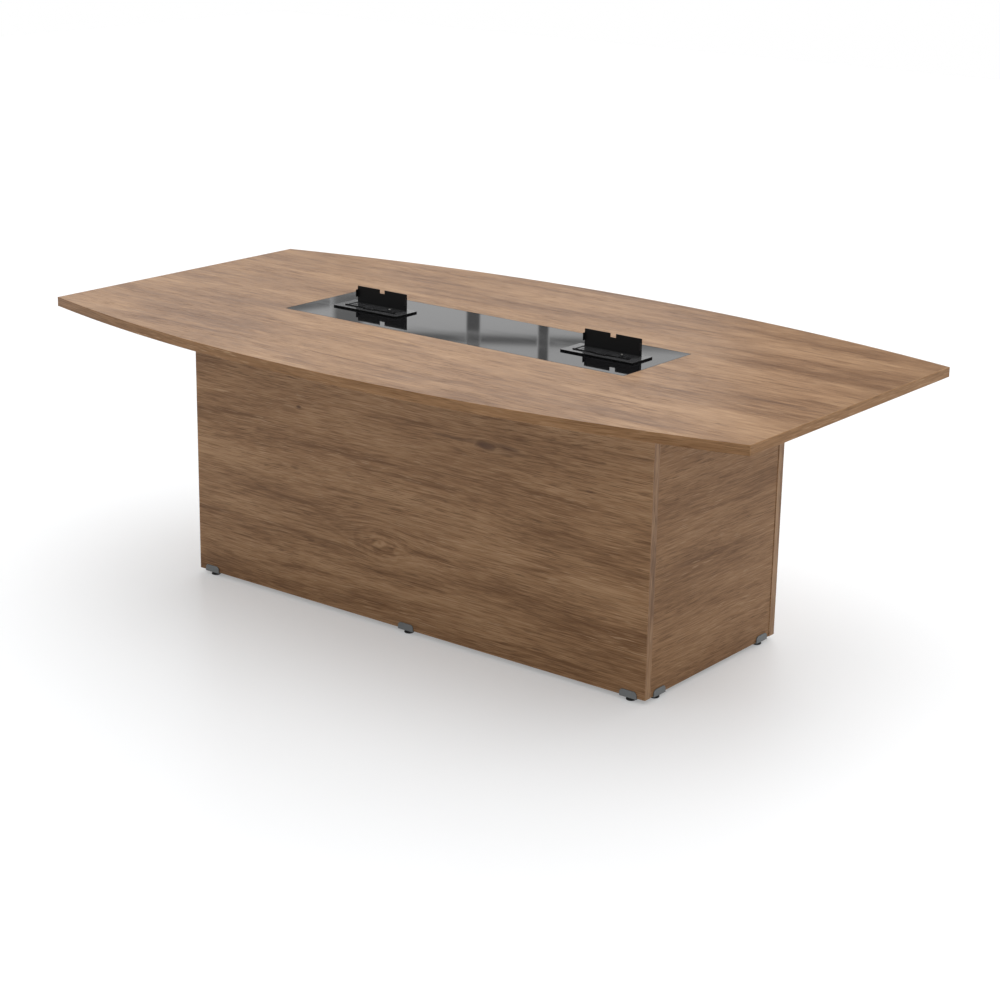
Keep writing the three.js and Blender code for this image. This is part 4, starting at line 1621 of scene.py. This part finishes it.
@dataclass
class ConnectionModule(SubAssembly):
    """One flip-lid module on the glass, with its sockets.

    A sleeve's bore is a share of its length, and its rounding a share of its wall.
    """

    side: Side
    screw: PanScrew = PanScrew(radius=2.8 * MM, height=0.35 * MM)
    bright_screw: tuple[float, float] = (34.4 * MM, 19.4 * MM)
    black_screw: tuple[float, float] = (-34.4 * MM, -16.6 * MM)
    bolt: HexBolt = HexBolt(
        across=8.0 * MM,
        height=4.0 * MM,
        washer=6.5 * MM,
        washer_height=1.2 * MM,
    )
    pin_spacing: float = 9.5 * MM
    sleeve_radius: float = 2.2 * MM
    sleeve_wall: float = 0.5 * MM
    sleeve_length: float = 12.5 * MM
    sleeve_sides: int = 20
    sleeve_bore: float = 0.85
    sleeve_round: float = 0.3
    face_drop: float = 0.5 * MM
    pin_depth: float = 14.0 * MM
    port_spacing: float = 19.0 * MM
    port_depth: float = 14.0 * MM
    port_half: float = 3.75 * MM
    contacts: int = 8
    contact_pitch: float = 1.02 * MM
    contact_leg: float = 9.0 * MM
    contact_width: float = 0.4 * MM
    contact_thickness: float = 0.3 * MM
    contact_bends: tuple[tuple[float, float], ...] = (
        (-0.4 * MM, 0.6 * MM),
        (-1.2 * MM, -1.6 * MM),
    )
    contact_taper: float = 0.7
    contact_inset: float = 0.4 * MM
    bolt_shift: float = 2.0 * MM
    bolt_drop: float = 2.5 * MM
    edge_radius: float = 0.35 * MM
    lip_rise: float = 1.1 * MM
    lip_round: float = 0.4 * MM
    ear_thickness: float = 1.2 * MM
    ear_slot: tuple[float, float] = (-11.5 * MM, 11.5 * MM)
    strip_play: float = 0.05 * MM
    strip_height: float = 1.5 * MM
    strip_overlap: float = 0.25 * MM
    strip_past_ear: float = 0.55 * MM
    strip_round: float = 0.4 * MM

    def name(self, part: str) -> str:
        """The full name of one of the module's parts."""
        return f"module_{self.side.value}_{part}"

    def middle(self) -> Vector:
        """Finds the middle of the frame, at the deck's top.

        Returns:
            The point, in metres.
        """
        low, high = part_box(self.name("frame"))
        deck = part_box(self.name("socket_deck"))[1]
        return Vector(((low.x + high.x) / 2, (low.y + high.y) / 2, deck.z))

    def build(self, shop: Workshop) -> None:
        """Models the module's small parts and soft parts, and rounds its lid and frame.

        Args:
            shop: The workshop.
        """
        self.deck_screws(shop)
        self.pin_sleeves(shop)
        self.port_contacts(shop)
        self.clamp_bolts(shop)
        self.seal_lip(shop)
        self.slot_strips(shop)
        lid_body = f"lid_{self.side.value}"
        shop.soften(self.name("lid"), lid_body, self.edge_radius, SATIN_BLACK, Slot.SATIN_BLACK)
        shop.soften(self.name("frame"), "table", self.edge_radius, GLOSS_BLACK, Slot.SATIN_BLACK)

    def deck_screws(self, shop: Workshop) -> None:
        """Models the two low-headed screws that hold the deck, one plated and one blackened.

        Args:
            shop: The workshop.
        """
        pattern = self.screw.pattern()
        for part, place, finish, slot in (
            ("deck_screw_plated", self.bright_screw, SATIN_NICKEL, Slot.ZINC_STEEL),
            ("deck_screw_black", self.black_screw, SATIN_BLACK, Slot.SATIN_BLACK),
        ):
            seat = self.middle() + Vector((*place, 0.0))
            piece = Bench.repeat(pattern, self.name(part), [Matrix.Translation(seat)])
            shop.seat(piece, "table", finish, slot)
        Bench.discard(pattern)

    def seal_lip(self, shop: Workshop) -> None:
        """Stands a seal with a raised soft lip in for the plain one in front of the lid.

        Args:
            shop: The workshop.
        """
        name = self.name("seal")
        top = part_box(name)[1].z - TOUCH
        seal = Bench.merged(shop.node(name), f"{name}_lip")
        with Bench.editing(seal):
            Bench.pick_faces(seal, lambda middle, normal: middle.z > top)
            Bench.extrude(z=self.lip_rise)
            bpy.ops.mesh.inset(thickness=self.lip_round, depth=0.0)
            Bench.extrude(z=self.lip_round)
        Bench.smooth(seal)
        shop.seat(seal, "table", SEAL_RUBBER, Slot.SEAL_BLACK)
        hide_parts(name)

    def slot_strips(self, shop: Workshop) -> None:
        """Models the soft strips in the ear slots, which the ears push aside as the lid shuts.

        Args:
            shop: The workshop.
        """
        middle = self.middle()
        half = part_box(self.name("lid"))[1].x - middle.x
        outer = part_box(self.name("socket_deck"))[1].x - middle.x + self.strip_overlap
        inner = half - self.ear_thickness - self.strip_past_ear
        front, back = self.ear_slot
        size = (outer - inner, back - front - 2 * self.strip_play, self.strip_height)
        for end, sign in (("left", -1.0), ("right", 1.0)):
            x = middle.x + sign * (outer + inner) / 2
            y = middle.y + (front + back) / 2
            centre = (x, y, middle.z - self.strip_play - self.strip_height / 2)
            strip = Bench.block(self.name(f"slot_strip_{end}"), size, centre)
            with Bench.editing(strip, "EDGE"):
                Bench.pick_edges(strip, lambda a, b: max(a.z, b.z) < middle.z - self.strip_height)
                bpy.ops.mesh.bevel(offset=self.strip_round, segments=3, affect="EDGES")
            Bench.smooth(strip)
            shop.seat(strip, "table", SOCKET_BLACK, Slot.BLACK_PLASTIC)
            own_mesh(strip)

    def pin_sleeves(self, shop: Workshop) -> None:
        """Models the contact sleeves in the power sockets' pin holes.

        Args:
            shop: The workshop.
        """
        size = (self.sleeve_radius, self.sleeve_length, self.sleeve_sides)
        pattern = Bench.disc("sleeve_pattern", *size)
        top = self.sleeve_length - TOUCH
        with Bench.editing(pattern):
            Bench.pick_faces(pattern, lambda middle, normal: middle.z > top)
            bpy.ops.mesh.inset(thickness=self.sleeve_wall, depth=0.0)
            Bench.extrude(z=-self.sleeve_length * self.sleeve_bore)
            Bench.pick_edges(pattern, lambda a, b: a.z > top and b.z > top)
            bpy.ops.mesh.bevel(
                offset=self.sleeve_wall * self.sleeve_round,
                segments=2,
                affect="EDGES",
            )
        places = []
        for number in (1, 2):
            low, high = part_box(self.name(f"power_socket_{number}"))
            floor = high.z - self.face_drop - self.pin_depth
            for step in (-1, 0, 1):
                x = (low.x + high.x) / 2 + step * self.pin_spacing
                places.append(Matrix.Translation((x, (low.y + high.y) / 2, floor)))
        Bench.smooth(pattern)
        piece = Bench.repeat(pattern, self.name("pin_sleeves"), places)
        Bench.discard(pattern)
        shop.seat(piece, "table", NICKEL, Slot.ZINC_STEEL)

    def port_contacts(self, shop: Workshop) -> None:
        """Models the row of sprung contacts in each data port.

        Args:
            shop: The workshop.
        """
        size = (self.contact_width, self.contact_thickness, self.contact_leg)
        spring = Bench.block("contact_pattern", size, (0.0, 0.0, self.contact_leg / 2))
        top = self.contact_leg - TOUCH
        with Bench.editing(spring):
            Bench.pick_faces(spring, lambda middle, normal: middle.z > top)
            for y, z in self.contact_bends:
                Bench.extrude(y=y, z=z)
            bpy.ops.transform.resize(value=[self.contact_taper] * 3)
        Bench.apply(
            spring,
            "ARRAY",
            count=self.contacts,
            use_relative_offset=False,
            use_constant_offset=True,
            constant_offset_displace=(self.contact_pitch, 0.0, 0.0),
        )
        low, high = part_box(self.name("data_insert"))
        first = (low.x + high.x) / 2 - (self.contacts - 1) * self.contact_pitch / 2
        back = (low.y + high.y) / 2 + self.port_half - self.contact_inset
        places = [
            Matrix.Translation((first + step * self.port_spacing, back, high.z - self.port_depth))
            for step in (-0.5, 0.5)
        ]
        piece = Bench.repeat(spring, self.name("port_contacts"), places)
        Bench.discard(spring)
        Bench.close(piece)
        shop.seat(piece, "table", NICKEL, Slot.ZINC_STEEL)

    def clamp_bolts(self, shop: Workshop) -> None:
        """Models the bolts that press the clamps against the board.

        Args:
            shop: The workshop.
        """
        pattern = self.bolt.pattern()
        places = []
        for end, sign in (("left", -1.0), ("right", 1.0)):
            low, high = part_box(self.name(f"clamp_{end}"))
            x = (low.x + high.x) / 2 + sign * self.bolt_shift
            seat = Vector((x, (low.y + high.y) / 2, high.z - self.bolt_drop))
            places.append(Matrix.Translation(seat) @ Matrix.Rotation(math.pi, 4, "X"))
        piece = Bench.repeat(pattern, self.name("clamp_bolts"), places)
        Bench.discard(pattern)
        shop.seat(piece, "table", ZINC, Slot.ZINC_STEEL)

    def dress(self, shop: Workshop) -> None:
        """Gives the module's other parts their finishes.

        Args:
            shop: The workshop.
        """
        shop.dress(self.name("socket_deck"), GLOSS_BLACK)
        shop.dress(self.name("well"), WELL_BLACK)
        for part in ("power_socket_1", "power_socket_2", "data_insert"):
            shop.dress(self.name(part), SOCKET_BLACK)
        for part in ("hinge_rod", "clamp_left", "clamp_right"):
            shop.dress(self.name(part), ZINC)


@dataclass
class Plinth(SubAssembly):
    """The box under the top: its panels, divider, rails and corner angles."""

    screw: PanScrew = PanScrew(radius=4.0 * MM, height=2.4 * MM)
    screw_rise: tuple[float, ...] = (0.25, 0.75)
    screw_along: float = 0.62
    angle_thickness: float = 3.0 * MM
    cam: CamFitting = CamFitting()
    cam_inset: float = 34.0 * MM
    cam_heights: tuple[float, ...] = (0.15, 0.60)
    cam_shares: tuple[float, ...] = (0.25, 0.75)
    band_thickness: float = 0.05 * MM
    knots: tuple[Knot, ...] = (
        Knot(0.251, 0.552, length=0.050, width=0.020, heart=0.74, rings=0.10),
        Knot(0.310, 0.549, length=0.150, width=0.020, pull=0.4, heart=0.24),
        Knot(0.160, 0.553, length=0.160, width=0.007, pull=0.2, heart=0.50),
        Knot(0.318, 0.556, length=0.070, width=0.009, pull=0.2, heart=0.45),
        Knot(0.568, 0.498, length=0.030, width=0.006, pull=0.2, heart=0.60),
        Knot(-0.084, 0.222, length=0.090, width=0.042, pull=0.9, rings=0.20),
        Knot(-0.369, 0.539, length=0.016, width=0.008, heart=0.8),
    )

    def build(self, shop: Workshop) -> None:
        """Models the angles' screws and the cams in the rails and divider.

        Args:
            shop: The workshop.
        """
        self.angle_screws(shop)
        self.cams(shop)

    def angle_screws(self, shop: Workshop) -> None:
        """Models four screws in each corner angle.

        Args:
            shop: The workshop.
        """
        pattern = self.screw.pattern()
        for row, inward_y in (("front", 1.0), ("rear", -1.0)):
            for end, inward_x in (("left", 1.0), ("right", -1.0)):
                low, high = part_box(f"corner_angle_{row}_{end}")
                corner_x = low.x if inward_x > 0 else high.x
                corner_y = low.y if inward_y > 0 else high.y
                corner = Vector((corner_x, corner_y, low.z))
                span = high - low
                places = []
                for rise in self.screw_rise:
                    z = low.z + rise * span.z
                    along = corner.x + inward_x * span.x * self.screw_along
                    seat = Vector((along, corner.y + inward_y * self.angle_thickness, z))
                    turn = Matrix.Rotation(-inward_y * math.pi / 2, 4, "X")
                    places.append(Matrix.Translation(seat) @ turn)
                    across = corner.y + inward_y * span.y * self.screw_along
                    seat = Vector((corner.x + inward_x * self.angle_thickness, across, z))
                    turn = Matrix.Rotation(inward_x * math.pi / 2, 4, "Y")
                    places.append(Matrix.Translation(seat) @ turn)
                piece = Bench.repeat(pattern, f"corner_angle_{row}_{end}_screws", places)
                shop.seat(piece, "table", ZINC, Slot.ZINC_STEEL)
        Bench.discard(pattern)

    def cams(self, shop: Workshop) -> None:
        """Models the cam fittings under the cross rails and on the divider.

        Args:
            shop: The workshop.
        """
        pattern = self.cam.pattern()
        for end in ("left", "right"):
            low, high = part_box(f"cross_rail_{end}")
            places = []
            for share in self.cam_shares:
                x = low.x + (high.x - low.x) * share
                for y in (low.y + self.cam_inset, high.y - self.cam_inset):
                    turn = Matrix.Rotation(math.pi, 4, "X")
                    places.append(Matrix.Translation((x, y, low.z)) @ turn)
            piece = Bench.repeat(pattern, f"cross_rail_{end}_cams", places)
            shop.seat(piece, "table", ZINC, Slot.ZINC_STEEL)
        low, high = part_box("plinth_divider")
        places = []
        for z in self.cam_heights:
            for y in (low.y + self.cam_inset, high.y - self.cam_inset):
                turn = Matrix.Rotation(math.pi / 2, 4, "Y")
                places.append(Matrix.Translation((high.x, y, z)) @ turn)
        piece = Bench.repeat(pattern, "plinth_divider_cams", places)
        shop.seat(piece, "table", ZINC, Slot.ZINC_STEEL)
        Bench.discard(pattern)

    def dress(self, shop: Workshop) -> None:
        """Gives the boards and angles their finishes.

        Args:
            shop: The workshop.
        """
        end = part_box("plinth_panel_front")[1].x - self.band_thickness
        for place, seed, knots in (("front", 6.0, self.knots), ("rear", 7.4, ())):
            panel = OakDecor(
                Grain.ALONG_LENGTH,
                seed=seed,
                waviness=0.05,
                banding=1.3,
                contrast=1.05,
                banded_end=end,
                knots=knots,
            )
            shop.dress(f"plinth_panel_{place}", panel)
        for place, seed in (("left", 8.2), ("right", 9.6)):
            panel = OakDecor(
                Grain.ALONG_DEPTH,
                seed=seed,
                waviness=0.05,
                tone=-0.04,
                contrast=0.75,
                specular=0.10,
            )
            shop.dress(f"plinth_panel_{place}", panel)
        for board, seed in (
            ("plinth_divider", 10.1),
            ("cross_rail_left", 11.3),
            ("cross_rail_right", 12.8),
        ):
            shop.dress(board, OakDecor(Grain.ALONG_DEPTH, seed=seed))
        for row in ("front", "rear"):
            for end_name in ("left", "right"):
                shop.dress(f"corner_angle_{row}_{end_name}", ZINC)


@dataclass
class LevellingFoot(SubAssembly):
    """One bracket on a panel's lower edge, with its glide."""

    panel: str
    place: str
    screw: PanScrew = PanScrew(radius=3.0 * MM, height=1.6 * MM)
    screw_reach: float = 18.0 * MM
    edge_radius: float = 0.7 * MM

    def name(self, part: str) -> str:
        """The full name of one of the foot's parts."""
        return f"foot_{self.panel}_{self.place}_{part}"

    def build(self, shop: Workshop) -> None:
        """Models the two screws under the bracket and rounds the bracket.

        Args:
            shop: The workshop.
        """
        low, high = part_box(self.name("glide"))
        middle = (low + high) / 2
        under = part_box(self.name("bracket"))[0].z
        seat = Vector((middle.x, middle.y, under))
        along = Vector((0.0, 1.0, 0.0))
        if self.panel in ("front", "rear"):
            along = Vector((1.0, 0.0, 0.0))
        turn = Matrix.Rotation(math.pi, 4, "X")
        places = [
            Matrix.Translation(seat + along * step * self.screw_reach) @ turn
            for step in (-1.0, 1.0)
        ]
        pattern = self.screw.pattern()
        piece = Bench.repeat(pattern, self.name("screws"), places)
        Bench.discard(pattern)
        shop.seat(piece, "table", ZINC, Slot.ZINC_STEEL)
        bracket = self.name("bracket")
        shop.soften(bracket, "table", self.edge_radius, BRACKET_GREY, Slot.BRACKET_GREY)

    def dress(self, shop: Workshop) -> None:
        """Gives the glide its finish.

        Args:
            shop: The workshop.
        """
        shop.dress(self.name("glide"), GLIDE_BLACK)


@dataclass(frozen=True)
class WindowBar:
    """One bar or darker wall of the studio, which only shows in gloss surfaces."""

    across: float
    height: float
    width: float
    tall: float
    strength: float = 0.20
    soft: float = 0.012
    tilt: float = 0.0


@dataclass(frozen=True)
class Lamp:
    """One broad distant light, turned from straight down about x and then y, in degrees."""

    name: str
    strength: float
    spread: float
    lean: tuple[float, float]
    mirrored: bool = True

    def build(self) -> None:
        """Hangs the light."""
        data = bpy.data.lights.new(self.name, "SUN")
        data.energy = self.strength
        data.angle = math.radians(self.spread)
        lamp = bpy.data.objects.new(self.name, data)
        lamp.rotation_euler = (math.radians(self.lean[0]), math.radians(self.lean[1]), 0.0)
        lamp.visible_glossy = self.mirrored
        bpy.context.scene.collection.objects.link(lamp)


@dataclass
class Studio:
    """A pale floor, an even white room, a broad light overhead and a soft one behind."""

    floor_span: float = 24.0
    floor_colour: Colour = (0.81, 0.822, 0.835)
    floor_cells: Cells = Cells(1.5, 1.5)
    floor_mottle: float = 1.02
    floor_roughness: float = 0.32
    floor_specular: float = 0.25
    floor_drop: float = 0.2 * MM
    room_light: float = 0.68
    lamps: tuple[Lamp, ...] = (
        Lamp("overhead", strength=1.78, spread=70.0, lean=(-5.0, 4.0)),
        Lamp("behind", strength=1.7, spread=60.0, lean=(-60.0, -30.0), mirrored=False),
    )
    floor_glow: float = 0.30
    bar_distance: float = 4.0
    bar_turn: float = PHOTO_YAW
    bars: tuple[WindowBar, ...] = (
        WindowBar(-0.075, 1.900, 0.070, 2.000),
        WindowBar(0.235, 1.900, 0.056, 2.000),
        WindowBar(-0.627, 1.900, 0.160, 2.000, strength=0.34, soft=0.035),
        WindowBar(0.315, 1.731, 1.770, 0.064, soft=0.024, tilt=1.3),
        WindowBar(-0.800, 1.583, 0.620, 0.064, strength=0.26, soft=0.025, tilt=-9.6),
        WindowBar(2.050, 2.100, 2.100, 2.800, strength=0.22, soft=0.100),
        WindowBar(-0.600, 0.900, 4.200, 1.100, strength=0.32, soft=0.050),
    )

    def build(self) -> None:
        """Makes the floor, the room's light, the lamps and the window bars."""
        self.floor()
        self.room()
        for lamp in self.lamps:
            lamp.build()
        self.window()

    def floor(self) -> None:
        """Makes the floor."""
        floor = Bench.sheet("floor", self.floor_span, self.floor_span)
        floor.data.transform(Matrix.Translation((0.0, 0.0, -self.floor_drop)))
        material, sheet = NodeSheet.for_material("floor_finish")
        cloud = sheet.noise(sheet.here(), self.floor_cells)
        shader = sheet.add("ShaderNodeBsdfPrincipled")
        paler = tuple(part * self.floor_mottle for part in self.floor_colour)
        colour = sheet.blend(cloud, rgba(self.floor_colour), rgba(paler))
        sheet.feed(shader.inputs["Base Color"], colour)
        shader.inputs["Roughness"].default_value = self.floor_roughness
        shader.inputs["Specular IOR Level"].default_value = self.floor_specular
        glow = sheet.add("ShaderNodeEmission")
        mixed = sheet.add("ShaderNodeMixShader")
        sheet.feed(mixed.inputs[0], sheet.math("MULTIPLY", self.seen(sheet), self.floor_glow))
        sheet.feed(mixed.inputs[1], shader.outputs[0])
        sheet.feed(mixed.inputs[2], glow.outputs[0])
        sheet.show(mixed)
        floor.data.materials.append(material)
        LOG.info("floor laid")

    @staticmethod
    def seen(sheet: NodeSheet) -> bpy.types.NodeSocket:
        """Tells rays from the camera, straight or by way of gloss or glass, from the others.

        Args:
            sheet: The sheet of the floor or the room.

        Returns:
            A socket that is one for such a ray, and else nought.
        """
        path = sheet.add("ShaderNodeLightPath")
        direct = sheet.math("MAXIMUM", path.outputs["Is Camera Ray"], path.outputs["Is Glossy Ray"])
        return sheet.math("MAXIMUM", direct, path.outputs["Is Transmission Ray"])

    def room(self) -> None:
        """Lights the room evenly; what sees it directly or mirrored sees plain white."""
        world = bpy.data.worlds.new("room")
        world.use_nodes = True
        world.node_tree.nodes.clear()
        sheet = NodeSheet(world.node_tree)
        light = sheet.add("ShaderNodeBackground")
        light.inputs["Color"].default_value = (1.0, 1.0, 1.0, 1.0)
        lift = 1.0 - self.room_light
        strength = sheet.math("MULTIPLY_ADD", self.seen(sheet), lift, self.room_light)
        sheet.feed(light.inputs["Strength"], strength)
        output = sheet.add("ShaderNodeOutputWorld")
        sheet.feed(output.inputs["Surface"], light.outputs[0])
        bpy.context.scene.world = world

    def window(self) -> None:
        """Hangs the window bars where the glass mirrors them."""
        turn = Matrix.Rotation(math.radians(self.bar_turn), 4, "Z")
        stand = Matrix.Rotation(math.pi / 2, 4, "X")
        for number, bar in enumerate(self.bars, 1):
            tilt = Matrix.Rotation(math.radians(bar.tilt), 4, "Z")
            place = Matrix.Translation((bar.across, self.bar_distance, bar.height))
            piece = Bench.sheet(f"window_bar_{number}", bar.width, bar.tall)
            piece.data.transform(turn @ place @ stand @ tilt)
            piece.data.materials.append(self.bar_finish(piece.name, bar))
            piece.visible_camera = False
            piece.visible_diffuse = False
            piece.visible_transmission = False
            piece.visible_shadow = False

    def bar_finish(self, name: str, bar: WindowBar) -> bpy.types.Material:
        """Makes a bar's glow, which fades to the room's white at its edges.

        Args:
            name: The bar's name.
            bar: The bar.

        Returns:
            The material.
        """
        material, sheet = NodeSheet.for_material(f"{name}_finish")
        turn = math.radians(self.bar_turn)
        tilt = math.radians(bar.tilt)
        x, y, z = sheet.split(sheet.here())
        along = sheet.math("MULTIPLY_ADD", x, math.cos(turn), -bar.across)
        along = sheet.math("MULTIPLY_ADD", y, math.sin(turn), along)
        up = sheet.math("SUBTRACT", z, bar.height)
        paler: Feed = 0.0
        for first, second, reach in (
            (math.cos(tilt), math.sin(tilt), bar.width / 2),
            (-math.sin(tilt), math.cos(tilt), bar.tall / 2),
        ):
            off = sheet.math("MULTIPLY_ADD", up, second, sheet.math("MULTIPLY", along, first))
            fade = sheet.ease(sheet.math("ABSOLUTE", off), reach - bar.soft, reach)
            paler = sheet.math("MAXIMUM", fade, paler)
        glow = sheet.add("ShaderNodeEmission")
        strength = sheet.math("MULTIPLY_ADD", paler, 1.0 - bar.strength, bar.strength)
        sheet.feed(glow.inputs["Strength"], strength)
        sheet.show(glow)
        return material


@dataclass
class PhotoCamera:
    """The photograph's viewpoint, in metres and degrees."""

    place: tuple[float, float, float] = (3.4790, -4.4218, 2.0624)
    yaw: float = PHOTO_YAW
    pitch: float = 17.47
    roll: float = 1.01
    focal_pixels: float = 2233.3

    def build(self) -> None:
        """Sets up the camera and makes it the scene's."""
        data = bpy.data.cameras.new("photo_camera")
        data.sensor_width = SENSOR_WIDTH
        data.lens = self.focal_pixels * SENSOR_WIDTH / IMAGE_WIDTH
        camera = bpy.data.objects.new("photo_camera", data)
        aim = Matrix.Rotation(math.radians(self.yaw), 4, "Z")
        tilt = Matrix.Rotation(math.radians(90.0 - self.pitch), 4, "X")
        lean = Matrix.Rotation(math.radians(self.roll), 4, "Z")
        camera.matrix_world = Matrix.Translation(self.place) @ aim @ tilt @ lean
        bpy.context.scene.collection.objects.link(camera)
        bpy.context.scene.camera = camera


FEET = (
    ("front", ("left", "middle", "right")),
    ("rear", ("left", "middle", "right")),
    ("left", ("front", "rear")),
    ("right", ("front", "rear")),
)


def corners(box: Sequence[Vector]) -> list[list[float]]:
    """A box's corners as plain lists."""
    return [list(corner) for corner in box]


def main() -> None:
    """Builds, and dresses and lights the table."""
    logging.basicConfig(level=logging.INFO, format="%(message)s")
    shop = Workshop(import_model())
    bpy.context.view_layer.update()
    bpy.context.scene.view_settings.view_transform = "Standard"
    PhotoCamera().build()
    Studio().build()
    assemblies: list[SubAssembly] = [TableTop()]
    assemblies += [ConnectionModule(side) for side in Side]
    assemblies.append(Plinth())
    assemblies += [LevellingFoot(panel, place) for panel, places in FEET for place in places]
    for assembly in assemblies:
        assembly.build(shop)
        assembly.dress(shop)
    LOG.info("%d new pieces", len(shop.made))


if __name__ == "__main__":
    main()
